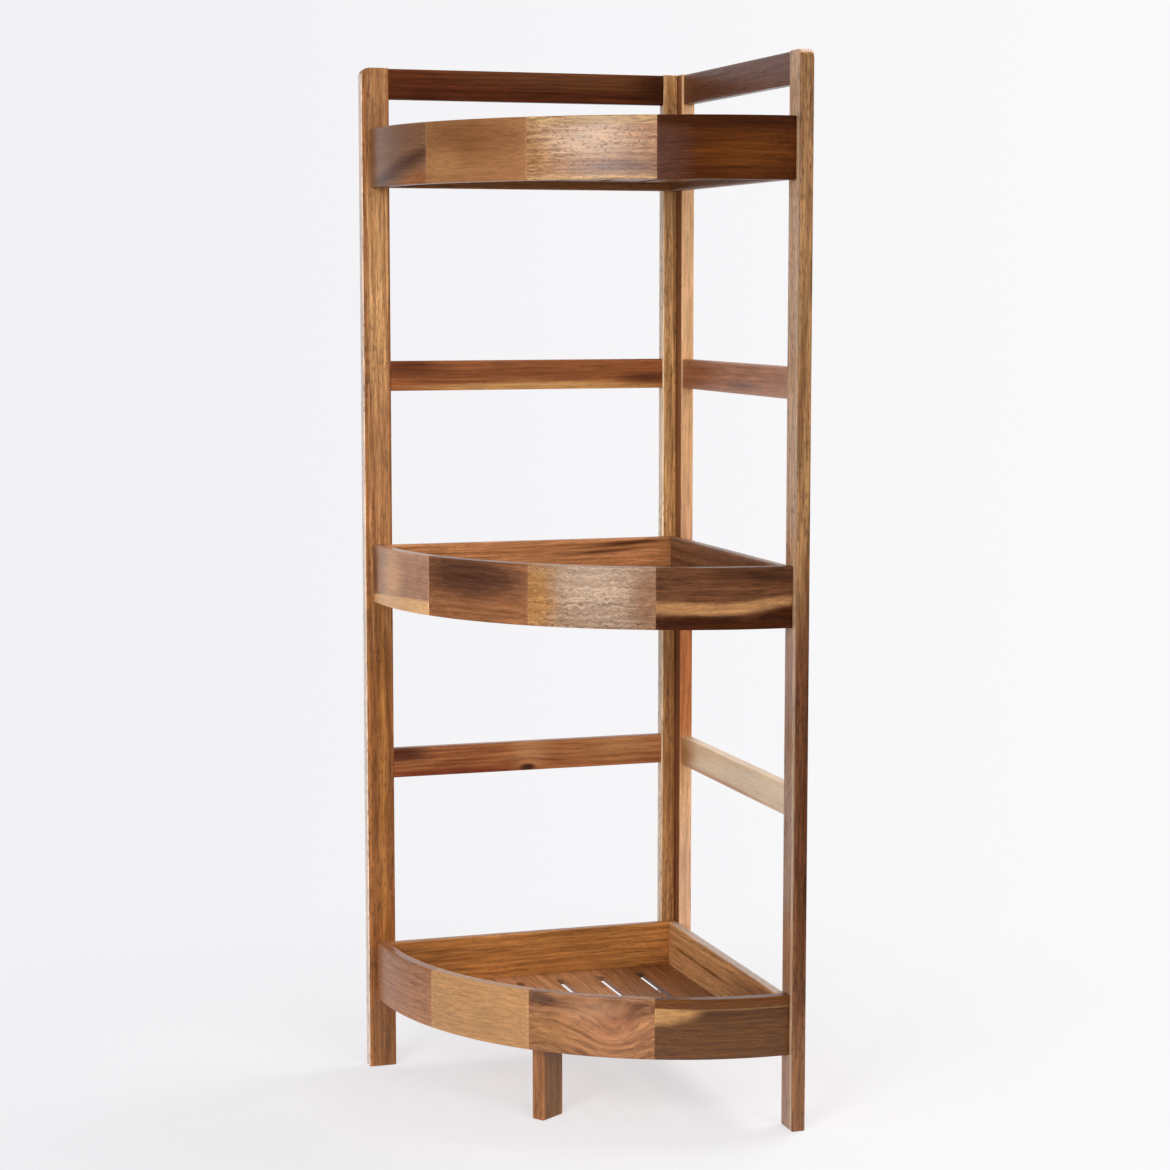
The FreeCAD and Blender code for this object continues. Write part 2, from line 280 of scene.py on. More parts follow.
FRONT_TIMBER = {
    Level.TOP: (
        Timber((149, 106, 77), (129, 89, 66), 11.0, ring=5.0, wander=9.0, flecks=0.2, patches=(
            Patch((12, -10), (50, 6), (108, 70, 52), (78, 50, 38), tilt=14.0, softness=0.8),
            Patch((38, -21), (26, 6), (178, 118, 78), (146, 90, 56), tilt=12.0, softness=0.6),
        )),
        Timber((172, 120, 79), (161, 110, 72), 12.0, wander=8.0, flecks=0.2, patches=(
            Patch((0, 8), (40, 14), (152, 101, 64), (141, 92, 57), softness=0.9),
            Patch((-38, -14), (22, 12), (184, 131, 87), (172, 120, 77), softness=0.9),
        )),
        Timber((192, 148, 113), (141, 96, 67), 13.0, ring=2.5, flecks=0.9, fleck_length=3.0, patches=(
            Patch((-44, -2), (16, 22), (192, 146, 98), (144, 98, 60), softness=0.8),
            # painted highlight: pale glare in the middle of the block
            Patch((-8, 10), (28, 14), (215, 182, 153), (181, 139, 108), softness=0.9),
            Patch((24, -15), (32, 5), (150, 112, 94), (102, 72, 58), softness=0.8),
            Patch((0, 23), (90, 5), (198, 160, 112), (152, 112, 74), softness=0.5),
            Patch((0, -25), (90, 3.5), (206, 164, 118), (178, 134, 92), softness=0.4),
        )),
        Timber((88, 45, 17), (62, 30, 10), 14.0, ring=2.5, slope=0.02, flecks=0.3, gloss=0.06, patches=(
            Patch((18, -4), (34, 12), (114, 62, 22), (82, 43, 14), softness=0.9),
            # painted reflection: greyer left end of the block
            Patch((-52, -6), (20, 28), (98, 63, 51), (77, 48, 39), softness=0.8),
            Patch((10, 21), (80, 5.5), (68, 33, 14), (52, 25, 9), softness=0.4),
        )),
    ),
    Level.MIDDLE: (
        Timber((200, 153, 126), (184, 138, 113), 15.0, flecks=0.2, patches=(
            Patch((-54, 0), (8, 30), (148, 104, 78), (120, 82, 62), softness=0.7),
            Patch((-8, 2), (16, 22), (234, 181, 136), (218, 165, 121), softness=0.8),
            Patch((0, -22), (90, 8), (248, 196, 145), (239, 185, 134), tilt=2.0, softness=0.15, wobble=0.08),
        )),
        Timber((176, 118, 80), (138, 88, 57), 16.0, wander=10.0, flecks=0.4, patches=(
            Patch((-4, 12), (52, 19), (118, 78, 58), (86, 55, 43), softness=0.5),
        )),
        Timber(
            (196, 163, 134), (126, 92, 68), 17.0, ring=2.0, curl=8.0, curl_size=5.5, fleck_length=3.0,
            patches=(
                # painted highlight: pale, greyish zone in the upper middle
                Patch((-2, 7), (28, 16), (216, 186, 158), (156, 120, 95), softness=0.9),
                Patch((48, -4), (12, 30), (168, 124, 92), (128, 90, 64), softness=0.8),
                Patch((-48, -4), (17, 34), (202, 149, 93), (156, 104, 60), softness=0.6, wobble=0.5),
            )),
        Timber((122, 78, 51), (82, 51, 34), 18.0, ring=3.0, slope=0.02, flecks=0.5, gloss=0.15, patches=(
            Patch((34, 18), (30, 6), (90, 56, 37), (62, 37, 23), softness=0.8),
            Patch((-30, -8), (44, 5.0), (180, 133, 88), (160, 113, 72), tilt=-2.5, softness=0.5, wobble=0.25),
            Patch((28, -6), (44, 4.6), (180, 133, 88), (160, 113, 72), tilt=6.5, softness=0.5, wobble=0.25),
            Patch((-20, -27), (64, 13.5), (76, 39, 19), (50, 26, 12), softness=0.25, wobble=0.2),
            Patch((62, -21), (42, 14.5), (76, 39, 19), (50, 26, 12), softness=0.25, wobble=0.2),
        )),
    ),
    Level.BOTTOM: (
        Timber((193, 136, 99), (153, 102, 70), 19.0, ring=2.5, flecks=0.5),
        Timber((199, 149, 101), (186, 137, 91), 20.0, ring=2.5, flecks=0.4),
        Timber(
            (195, 137, 93), (106, 64, 40), 21.0, ring=4.0, wander=6.0, curl=4.0, curl_size=24.0, flecks=0.5,
            knot=(20.0, 20.0, 42.0), knot_length=0.7,
            patches=(
                Patch((-34, -8), (22, 12), (184, 131, 83), (142, 94, 55), softness=0.9),
                Patch((8, 14), (22, 7), (196, 148, 110), (156, 107, 76), softness=0.9),
                Patch((22, -2), (18, 11), (186, 126, 88), (148, 95, 63), softness=0.9),
                Patch((-43, 20), (14, 4.5), (114, 80, 60), (84, 55, 42), tilt=-5.0, softness=0.6),
            )),
        Timber((112, 73, 42), (81, 51, 29), 22.0, ring=2.5, flecks=0.5, patches=(
            Patch((-56, 15.5), (35, 11), (196, 148, 94), (178, 130, 80), softness=0.35, wobble=0.15),
            Patch((20, 16.6), (50, 0.8), (140, 104, 70), (124, 90, 58), softness=0.5),
            Patch((0, 24.5), (110, 7.5), (118, 72, 30), (94, 56, 24), softness=0.06, wobble=0.03),
        )),
    ),
}

SIDE_TIMBER = {
    "top_tray_left_side": Timber((166, 114, 72), (120, 76, 44), 23.0),
    "top_tray_right_side": Timber((150, 102, 68), (106, 68, 42), 24.0),
    "middle_tray_left_side": Timber((221, 152, 102), (160, 103, 61), 25.0, wander=9.0, patches=(
        Patch((64, 14), (34, 1.8), (126, 78, 48), (94, 57, 36), tilt=3.0, softness=0.8),
        Patch((88, 21), (36, 2.2), (116, 72, 45), (86, 52, 34), tilt=4.0, softness=0.8),
    )),
    "middle_tray_right_side": Timber((159, 113, 85), (90, 59, 41), 26.0),
    "bottom_tray_left_side": Timber((202, 138, 79), (134, 85, 47), 27.0, ring=3.0),
    "bottom_tray_right_side": Timber((246, 189, 132), (184, 132, 86), 28.0, ring=4.0, patches=(
        Patch((94, 0), (60, 40), (196, 138, 92), (146, 98, 62), softness=0.7),
        Patch((-84, 5.5), (36, 1.0), (132, 88, 54), (106, 68, 42), tilt=-0.6, softness=0.7, wobble=0.5),
        Patch((-16, 4.8), (28, 1.2), (138, 92, 57), (110, 71, 44), tilt=-1.0, softness=0.8, wobble=0.5),
        # painted reflection: pale grey line along the top edge
        Patch((0, 25.4), (200, 0.7), (204, 176, 156), (180, 150, 130), softness=0.2, wobble=0.0),
    )),
}

FLOOR_TIMBER = {
    Level.TOP: Timber((160, 108, 68), (112, 70, 42), 29.0),
    Level.MIDDLE: Timber((164, 110, 68), (116, 72, 42), 30.0),
    Level.BOTTOM: Timber((228, 168, 123), (168, 117, 78), 31.0, patches=(
        # painted shade: darker zone of the floor towards the right side
        Patch((40, 110), (240, 60), (166, 112, 74), (118, 74, 48)),
    )),
}

LEG_TIMBER = Timber((158, 110, 69), (111, 73, 41), 32.0, ring=3.0, gloss=0.4, patches=(
    Patch((0, -13), (160, 2.2), (174, 117, 75), (135, 86, 52), softness=0.3, wobble=0.05),
))
DOWEL_TIMBER = Timber((206, 166, 118), (178, 136, 90), 33.0, ring=1.5)


# Node writing

MIX_FACTOR, MIX_FIRST, MIX_SECOND, MIX_RESULT = 0, 6, 7, 2     # colour sockets of a Mix node


class NodeWriter:
    """Adds nodes to a tree and feeds their inputs."""

    def __init__(self, tree: NodeTree) -> None:
        """Keeps the tree to write to."""
        self.tree = tree

    @classmethod
    def blank(cls, owner: Material | bpy.types.World) -> Self:
        """Starts the nodes of a material or a world afresh.

        Args:
            owner: The material or the world.

        Returns:
            Writer of its empty tree.
        """
        owner.use_nodes = True
        owner.node_tree.nodes.clear()
        return cls(owner.node_tree)

    def feed(self, socket: Socket, value: object) -> None:
        """Links a socket to another one, or sets its plain value.

        Args:
            socket: The input to feed.
            value: A socket or a plain value.
        """
        if isinstance(value, Socket):
            self.tree.links.new(value, socket)
        else:
            socket.default_value = value

    def add(self, kind: str, inputs: dict | None = None, **settings: object) -> bpy.types.Node:
        """Adds a node.

        Args:
            kind: Blender's name for the type of node.
            inputs: Sockets or plain values by the name or number of the input.
            settings: Properties of the node by name.

        Returns:
            The new node.
        """
        node = self.tree.nodes.new(kind)
        for name, value in settings.items():
            setattr(node, name, value)
        for key, value in (inputs or {}).items():
            self.feed(node.inputs[key], value)
        return node

    def output(self, kind: str, inputs: dict | None = None, **settings: object) -> Socket:
        """First output of a new node."""
        return self.add(kind, inputs, **settings).outputs[0]

    def group(self, tree: NodeTree, inputs: dict) -> Outputs:
        """Outputs of a shared node group that is given some inputs."""
        return self.add("ShaderNodeGroup", inputs, node_tree=tree).outputs

    def math(self, operation: str, *values: object) -> Socket:
        """Result of a Math node on sockets or plain values."""
        return self.output("ShaderNodeMath", dict(enumerate(values)), operation=operation)

    def line(self, value: object, gain: object, base: object) -> Socket:
        """Straight-line function: the value times a gain, plus a base."""
        return self.math("MULTIPLY_ADD", value, gain, base)

    def product(self, *factors: object) -> Socket:
        """Product of sockets or plain values."""
        return reduce(lambda left, right: self.math("MULTIPLY", left, right), factors)

    def largest(self, *values: object) -> Socket:
        """Largest of sockets or plain values."""
        return reduce(lambda left, right: self.math("MAXIMUM", left, right), values)

    def vector(self, operation: str, *values: object) -> Socket:
        """Vector result of a Vector Math node on sockets or plain values."""
        return self.output("ShaderNodeVectorMath", dict(enumerate(values)), operation=operation)

    def measure(self, operation: str, *values: object) -> Socket:
        """Number that a Vector Math node gives for sockets or plain values."""
        node = self.add("ShaderNodeVectorMath", dict(enumerate(values)), operation=operation)
        return node.outputs["Value"]

    def scaled(self, vector: object, factor: object) -> Socket:
        """Vector or colour times a number."""
        return self.output("ShaderNodeVectorMath", {0: vector, "Scale": factor}, operation="SCALE")

    def joined(self, x: object, y: object, z: object) -> Socket:
        """Vector made of three sockets or plain values."""
        return self.output("ShaderNodeCombineXYZ", {0: x, 1: y, 2: z})

    def parts(self, vector: Socket) -> Outputs:
        """The three numbers of a vector."""
        return self.add("ShaderNodeSeparateXYZ", {0: vector}).outputs

    def mixed(self, factor: object, first: object, second: object) -> Socket:
        """Blend of two colours."""
        inputs = {MIX_FACTOR: factor, MIX_FIRST: first, MIX_SECOND: second}
        return self.add("ShaderNodeMix", inputs, data_type="RGBA").outputs[MIX_RESULT]

    def ramped(self, value: object, low: object, high: object) -> Socket:
        """Smooth step from 0 at one value to 1 at another."""
        inputs = {"Value": value, "From Min": low, "From Max": high}
        return self.output("ShaderNodeMapRange", inputs, interpolation_type="SMOOTHSTEP")

    def noise(self, vector: Socket, detail: float) -> bpy.types.Node:
        """Noise texture at a scale of 1."""
        return self.add("ShaderNodeTexNoise", {"Vector": vector, "Scale": 1.0, "Detail": detail})


class GroupWriter(NodeWriter):
    """Node group under construction, with named inputs and outputs."""

    def __init__(self, name: str, inputs: dict[str, str], outputs: dict[str, str],
                 kind: str = "ShaderNodeTree") -> None:
        """Makes the group and its sockets.

        Args:
            name: Name of the group.
            inputs: Socket types by input name.
            outputs: Socket types by output name.
            kind: Blender's name for the type of node tree.
        """
        super().__init__(bpy.data.node_groups.new(name, kind))
        for way, sockets in (("INPUT", inputs), ("OUTPUT", outputs)):
            for socket_name, socket_type in sockets.items():
                self.tree.interface.new_socket(name=socket_name, in_out=way, socket_type=socket_type)
        self.given = self.tree.nodes.new("NodeGroupInput").outputs
        self.result = self.tree.nodes.new("NodeGroupOutput").inputs

    def give(self, **results: object) -> NodeTree:
        """Feeds the group's outputs.

        Args:
            results: Sockets or plain values by the name of the output.

        Returns:
            The finished tree.
        """
        for name, value in results.items():
            self.feed(self.result[name], value)
        return self.tree


class ShapeWriter(GroupWriter):
    """Geometry node tree under construction."""

    def __init__(self, name: str, sizes: dict[str, str]) -> None:
        """Makes the tree, with a material beside its sizes.

        Args:
            name: Name of the tree.
            sizes: Socket types by the name of a size.
        """
        inputs = {"Geometry": GEOMETRY, **sizes, "Material": MATERIAL}
        super().__init__(name, inputs, {"Geometry": GEOMETRY}, "GeometryNodeTree")

    def marked(self, geometry: Socket, name: str, value: Socket, domain: str = "POINT") -> Socket:
        """Geometry with a number stored on it by name."""
        inputs = {"Geometry": geometry, "Name": name, "Value": value}
        return self.output("GeometryNodeStoreNamedAttribute", inputs, data_type="FLOAT", domain=domain)

    def mark(self, name: str, kind: str = "FLOAT") -> Socket:
        """What is stored on the geometry by a name."""
        return self.output("GeometryNodeInputNamedAttribute", {"Name": name}, data_type=kind)

    def place(self) -> Socket:
        """Place of each point."""
        return self.output("GeometryNodeInputPosition")

    def rod(self, sides: int, radius: Socket, depth: Socket) -> Outputs:
        """Outputs of a closed cylinder about the origin, along Z."""
        inputs = {"Vertices": sides, "Radius": radius, "Depth": depth}
        return self.add("GeometryNodeMeshCylinder", inputs, fill_type="NGON").outputs

    def finish(self, geometry: Socket) -> NodeTree:
        """Makes the result real, sets its material and ends the tree.

        Args:
            geometry: What the tree has made.

        Returns:
            The finished tree.
        """
        real = self.output("GeometryNodeRealizeInstances", {0: geometry})
        inputs = {"Geometry": real, "Material": self.given["Material"]}
        return self.give(Geometry=self.output("GeometryNodeSetMaterial", inputs))


# Timber materials


def linear(value: float) -> float:
    """Linear light for a value of 0 to 1 on the sRGB curve."""
    return value / 12.92 if value <= 0.04045 else ((value + 0.055) / 1.055) ** 2.4


def own_colour(tone: Tone, gloss: float) -> Colour:
    """Linear base colour of a seen tone, without the reflection from the surface."""
    parts = (max(linear(part / 255.0) - SURFACE_SHEEN * gloss, LEAST_COLOUR) for part in tone)
    return (*parts, 1.0)


@dataclass(frozen=True)
class BoardAxes:
    """A board's own axes: its middle, the way of its grain, across its face and out of its face."""

    middle: Vector
    along: Vector
    across: Vector
    out: Vector

    def turn(self) -> Triple:
        """Euler angles from the world's axes to the board's."""
        return tuple(Matrix((self.along, self.across, self.out)).transposed().to_euler())

    def placer(self, width: float, thick: float, length: float) -> Placer:
        """Finds how the board's own measures give points in the world.

        Args:
            width: Size of the board across its face.
            thick: Size out of the face.
            length: Size along the grain.

        Returns:
            Function of the distances across, out and along, from the board's starting corner.
        """
        start = self.middle - (self.across * width + self.out * thick + self.along * length) / 2.0

        def place(across: float, out: float, along: float) -> Vector:
            """Point of the board."""
            return start + self.across * across + self.out * out + self.along * along

        return place


class TimberFigure(GroupWriter):
    """Group for the growth rings, fibres, pores and drift of tone in a solid board.

    It turns a place in the board, in metres along, across and out, into values from 0 to 1.
    """

    def __init__(self) -> None:
        """Makes the group's sockets and writes its nodes."""
        inputs = {
            "Vector": VECTOR, "Seed": FLOAT, "Ring": FLOAT, "Pith": VECTOR, "Slope": FLOAT, "Wander": FLOAT,
            "Curl": FLOAT, "Curl Size": FLOAT, "Knot": VECTOR, "Knot Length": FLOAT, "Fleck Length": FLOAT,
        }
        outputs = {"Streak": FLOAT, "Fine": FLOAT, "Pores": FLOAT, "Tone": FLOAT}
        super().__init__("Timber Figure", inputs, outputs)
        self.shift = self.scaled(SEED_SHIFT, self.given["Seed"])
        place = self.given["Vector"]
        grain = self.straightened(place)
        half_rings = self.math("MULTIPLY", self.rings(grain), 0.5)
        fleck_waves = self.joined(self.math("DIVIDE", 1.0, self.given["Fleck Length"]), *FLECKS.waves[1:])
        pores = self.layer(grain, FLECKS, fleck_waves)
        self.give(
            Streak=self.line(self.layer(grain, LINES), gain=0.5, base=half_rings),
            Fine=self.layer(grain, FIBRES),
            Pores=self.math("MULTIPLY", pores, self.line(self.layer(place, ZONES), gain=0.6, base=0.4)),
            Tone=self.field(grain, TONES.waves, TONES.detail).outputs[0],
        )

    def field(self, place: Socket, waves: object, detail: float) -> bpy.types.Node:
        """Noise at a place, at so many waves a metre along, across and out."""
        return self.noise(self.vector("MULTIPLY_ADD", place, waves, self.shift), detail)

    def layer(self, place: Socket, layer: Layer, waves: object = None) -> Socket:
        """Layer of the figure, stretched to 0 to 1.

        Args:
            place: Place in the board.
            layer: The layer's values.
            waves: Waves a metre, where the layer's own don't hold.

        Returns:
            Socket of the value.
        """
        noise = self.field(place, layer.waves if waves is None else waves, layer.detail)
        return self.ramped(noise.outputs[0], layer.low, layer.high)

    def sway(self, place: Socket, waves: object, detail: float, size: Socket) -> Socket:
        """Offset by a noise, of up to half a size either way."""
        noise = self.field(place, waves, detail).outputs["Color"]
        return self.scaled(self.vector("SUBTRACT", noise, MID_GREY), size)

    def straightened(self, place: Socket) -> Socket:
        """Undoes the drift, the curls and the knot of the grain.

        Args:
            place: Place in the board.

        Returns:
            Place in a board whose grain runs straight.
        """
        waves = self.math("DIVIDE", 1.0, self.given["Curl Size"])
        drift = self.sway(place, DRIFT.waves, DRIFT.detail, self.given["Wander"])
        curls = self.sway(place, self.joined(waves, waves, waves), CURL_DETAIL, self.given["Curl"])
        return self.vector("ADD", self.past_knot(place), self.vector("ADD", drift, curls))

    def past_knot(self, place: Socket) -> Socket:
        """Bends the grain round the knot, as a stream flows round a post.

        Args:
            place: Place in the board.

        Returns:
            Place in the board as if there were no knot.
        """
        knot = self.parts(self.given["Knot"])
        parts = self.parts(place)
        along = self.math("DIVIDE", self.math("SUBTRACT", parts[0], knot[0]), self.given["Knot Length"])
        across = self.math("SUBTRACT", parts[1], knot[1])
        squares = self.line(along, along, self.line(across, across, LEAST_SQUARE))
        size = self.line(knot[2], knot[2], squares)
        stream = self.math("MULTIPLY", across, self.math("DIVIDE", squares, size))
        return self.joined(parts[0], self.math("ADD", stream, knot[1]), parts[2])

    def rings(self, grain: Socket) -> Socket:
        """Growth rings about the pith line.

        Args:
            grain: Place in a board whose grain runs straight.

        Returns:
            Socket of the value, from 0 to 1.
        """
        parts = self.parts(self.vector("SUBTRACT", grain, self.given["Pith"]))
        lean = self.line(parts[0], self.given["Slope"], parts[2])
        squares = self.line(lean, lean, self.math("MULTIPLY", parts[1], parts[1]))
        count = self.math("DIVIDE", self.math("SQRT", squares), self.given["Ring"])
        grown = self.vector("MULTIPLY", self.joined(parts[0], count, self.given["Seed"]), RINGS.waves)
        return self.ramped(self.noise(grown, RINGS.detail).outputs[0], RINGS.low, RINGS.high)


def colour_patch() -> NodeTree:
    """Soft ellipse on a board's face, with a wavy outline drawn out along the grain.

    Returns:
        Group whose mask is 1 inside the ellipse and 0 outside.
    """
    inputs = {"Vector": VECTOR, "Centre": VECTOR, "Radius": VECTOR, "Tilt": FLOAT, "Softness": FLOAT,
              "Wobble": FLOAT, "Seed": FLOAT}
    group = GroupWriter("Colour Patch", inputs, {"Mask": FLOAT})
    place = group.given["Vector"]
    offset = group.vector("SUBTRACT", place, group.given["Centre"])
    turned = group.output("ShaderNodeVectorRotate", {"Vector": offset, "Angle": group.given["Tilt"]},
                          rotation_type="Z_AXIS", invert=True)
    flat = group.vector("MULTIPLY", turned, (1.0, 1.0, 0.0))
    length = group.measure("LENGTH", group.vector("DIVIDE", flat, group.given["Radius"]))
    shift = group.scaled((1.0, 0.0, 1.0), group.given["Seed"])
    wave = group.noise(group.vector("MULTIPLY_ADD", place, OUTLINE.waves, shift), OUTLINE.detail).outputs[0]
    sway = group.product(group.math("SUBTRACT", wave, 0.5), group.given["Wobble"], 2.0)
    inner = group.math("SUBTRACT", 1.0, group.given["Softness"])
    outer = group.math("ADD", 1.0, group.given["Softness"])
    outside = group.ramped(group.math("ADD", length, sway), inner, outer)
    return group.give(Mask=group.math("SUBTRACT", 1.0, outside))


def stave_cut() -> NodeTree:
    """Staves of a glued-up panel: each is another cut of the same timber.

    Returns:
        Group that gives the place in the stave's own timber, the stave's tone and the glue joint's mask.
    """
    inputs = {"Vector": VECTOR, "Stave": FLOAT, "Seed": FLOAT}
    group = GroupWriter("Stave Cut", inputs, {"Vector": VECTOR, "Tone": FLOAT, "Joint": FLOAT})
    place = group.given["Vector"]
    count = group.math("DIVIDE", group.parts(place)[1], group.given["Stave"])
    number = group.math("ADD", group.math("FLOOR", count), group.given["Seed"])
    chance = group.add("ShaderNodeTexWhiteNoise", {"W": number}, noise_dimensions="1D").outputs
    shift = group.vector("MULTIPLY", chance["Color"], STAVE_SHIFT)
    from_middle = group.math("ABSOLUTE", group.math("SUBTRACT", group.math("FRACT", count), 0.5))
    return group.give(
        Vector=group.vector("ADD", place, shift),
        Tone=chance["Value"],
        Joint=group.ramped(from_middle, *STAVE_JOINT),
    )


def oiled_surface() -> NodeTree:
    """Oiled and rubbed surface over a timber colour.

    Returns:
        Group that gives the final colour, the roughness and a height for bump.
    """
    inputs = {"Colour": COLOUR, "Tone": FLOAT, "Fine": FLOAT, "Pores": FLOAT, "Flecks": FLOAT, "Wear And Sheen": FLOAT,
              "End": FLOAT}
    outputs = {"Colour": COLOUR, "Roughness": FLOAT, "Height": FLOAT}
    group = GroupWriter("Oiled Surface", inputs, outputs)
    fine = group.given["Fine"]
    end = group.given["End"]
    pores = group.math("MULTIPLY", group.given["Pores"], group.given["Flecks"])
    contrast = group.line(group.given["Flecks"], gain=0.4, base=0.16)
    level = group.product(
        group.line(group.given["Tone"], gain=0.5, base=0.75),
        group.line(group.math("SUBTRACT", fine, 0.5), gain=contrast, base=1.0),
        group.line(pores, gain=-0.45, base=1.08),
        # darker end grain, and painted shade on the walls of the slots
        group.line(end, gain=-0.35, base=1.0),
        # rounded edges lighter in colour: partly wear, partly a painted sheen
        group.line(group.given["Wear And Sheen"], gain=0.14, base=1.0),
    )
    rough = group.line(fine, gain=0.12, base=0.27)
    rough = group.line(pores, gain=0.15, base=rough)
    rough = group.line(end, gain=0.2, base=rough)
    height = group.line(pores, gain=-1.0, base=group.math("MULTIPLY", fine, 0.6))
    return group.give(Colour=group.scaled(group.given["Colour"], level), Roughness=rough, Height=height)


class WoodShop:
    """Makes the timber materials from node groups that all boards share."""

    def __init__(self) -> None:
        """Builds the shared node groups."""
        self.figure = TimberFigure().tree
        self.patch = colour_patch()
        self.stave = stave_cut()
        self.surface = oiled_surface()

    def material(self, name: str, timber: Timber, axes: BoardAxes, stave: float = 0.0) -> Material:
        """Makes the material of one board.

        Args:
            name: Name of the material.
            timber: The board's cut of timber.
            axes: The board's own axes.
            stave: Width of the staves of a glued-up panel, or 0 for a solid board.

        Returns:
            The new material.
        """
        made = bpy.data.materials.new(name)
        nodes = NodeWriter.blank(made)
        place = nodes.output("ShaderNodeMapping", {
            "Vector": nodes.add("ShaderNodeTexCoord").outputs["Object"],
            "Location": tuple(axes.middle),
            "Rotation": axes.turn(),
        }, vector_type="TEXTURE")
        if stave:
            cut = nodes.group(self.stave, {"Vector": place, "Stave": stave, "Seed": timber.seed})
            figure = self.figured(nodes, cut["Vector"], timber)
            tone = nodes.line(cut["Tone"], gain=0.5, base=0.75)
            level = nodes.product(tone, nodes.line(cut["Joint"], gain=-0.6, base=1.0))
            colour = nodes.scaled(self.coloured(nodes, place, figure["Streak"], timber), level)
        else:
            figure = self.figured(nodes, place, timber)
            colour = self.coloured(nodes, place, figure["Streak"], timber)
        self.oiled(nodes, figure, colour, timber)
        return made

    def figured(self, nodes: NodeWriter, grain: Socket, timber: Timber) -> Outputs:
        """Places the figure of a cut of timber.

        Args:
            nodes: Writer of the board's material.
            grain: Place in the board's timber.
            timber: The cut of timber.

        Returns:
            Outputs of the figure's group.
        """
        return nodes.group(self.figure, {
            "Vector": grain,
            "Seed": timber.seed,
            "Ring": timber.ring * MM,
            "Pith": (0.0, timber.pith[0] * MM, timber.pith[1] * MM),
            "Slope": timber.slope,
            "Wander": timber.wander * MM,
            "Curl": timber.curl * MM,
            "Curl Size": timber.curl_size * MM,
            "Knot": tuple(part * MM for part in timber.knot),
            "Knot Length": timber.knot_length,
            "Fleck Length": timber.fleck_length * MM,
        })

    def coloured(self, nodes: NodeWriter, place: Socket, streak: Socket, timber: Timber) -> Socket:
        """Blends the light and the dark tone of a board, zone by zone.

        Args:
            nodes: Writer of the board's material.
            place: Place in the board's axes.
            streak: Share of the light tone.
            timber: The board's cut of timber.

        Returns:
            Socket of the colour.
        """
        light: object = own_colour(timber.light, timber.gloss)
        dark: object = own_colour(timber.dark, timber.gloss)
        for number, patch in enumerate(timber.patches):
            mask = nodes.group(self.patch, {
                "Vector": place,
                "Centre": (patch.centre[0] * MM, patch.centre[1] * MM, 0.0),
                "Radius": (patch.radius[0] * MM, patch.radius[1] * MM, 1.0),
                "Tilt": math.radians(patch.tilt),
                "Softness": patch.softness,
                "Wobble": patch.wobble,
                "Seed": (timber.seed + number) * PATCH_SEED,
            })["Mask"]
            light = nodes.mixed(mask, light, own_colour(patch.light, timber.gloss))
            dark = nodes.mixed(mask, dark, own_colour(patch.dark, timber.gloss))
        return nodes.mixed(streak, dark, light)

    def oiled(self, nodes: NodeWriter, figure: Outputs, colour: Socket, timber: Timber) -> None:
        """Ends a board's material with its oiled surface.

        Args:
            nodes: Writer of the board's material.
            figure: Outputs of the figure's group.
            colour: The timber's colour.
            timber: The board's cut of timber.
        """
        surface = nodes.group(self.surface, {
            "Colour": colour,
            "Tone": figure["Tone"],
            "Fine": figure["Fine"],
            "Pores": figure["Pores"],
            "Flecks": timber.flecks,
            "Wear And Sheen": nodes.add("ShaderNodeAttribute", attribute_name="wear_and_sheen").outputs["Fac"],
            # the end mark holds end grain and also painted shade on the slot walls
            "End": nodes.add("ShaderNodeAttribute", attribute_name="end").outputs["Fac"],
        })
        bump = {"Height": surface["Height"], "Strength": BUMP_STRENGTH, "Distance": BUMP_DEPTH}
        shader = nodes.output("ShaderNodeBsdfPrincipled", {
            "Base Color": surface["Colour"],
            "Roughness": surface["Roughness"],
            "Normal": nodes.output("ShaderNodeBump", bump),
            "IOR": WOOD_IOR,
            "Specular IOR Level": timber.gloss,
        })
        nodes.add("ShaderNodeOutputMaterial", {"Surface": shader})


# Boards


@dataclass(frozen=True)
class SectionPoint:
    """Point of a board's section, across and out, with how much wear and painted sheen its surface takes
    there.
    """

    across: float
    out: float
    wear_and_sheen: float


@dataclass(frozen=True)
class Groove:
    """Groove along a board: its span across the board, its depth, and whether it is in the outer face."""

    low: float
    high: float
    depth: float
    outside: bool

    def side(self) -> int:
        """Which of a section's four sides it is in, counted from the inner face."""
        return 2 if self.outside else 0

    def outline(self, thick: float) -> list[SectionPoint]:
        """Finds the groove's part of a board's section.

        Args:
            thick: Size of the board out of its face.

        Returns:
            Its points, in the order of the section's.
        """
        face, bottom = (thick, thick - self.depth) if self.outside else (0.0, self.depth)
        first, last = (self.high, self.low) if self.outside else (self.low, self.high)
        corners = ((first, face), (first, bottom), (last, bottom), (last, face))
        return [SectionPoint(across, out, 0.0) for across, out in corners]


@dataclass(frozen=True)
class Station:
    """Place along a board where its section stands, with how far its sides are drawn in there."""

    along: float
    low: float
    high: float
    thin: float
    wear_and_sheen: float


@dataclass(frozen=True)
class BoardEnds:
    """Roundings of a board's ends: at its start, at its finish, and of the two corners at its finish."""

    start: float = JOINT_EASE
    finish: float = JOINT_EASE
    low_corner: float = 0.0
    high_corner: float = 0.0


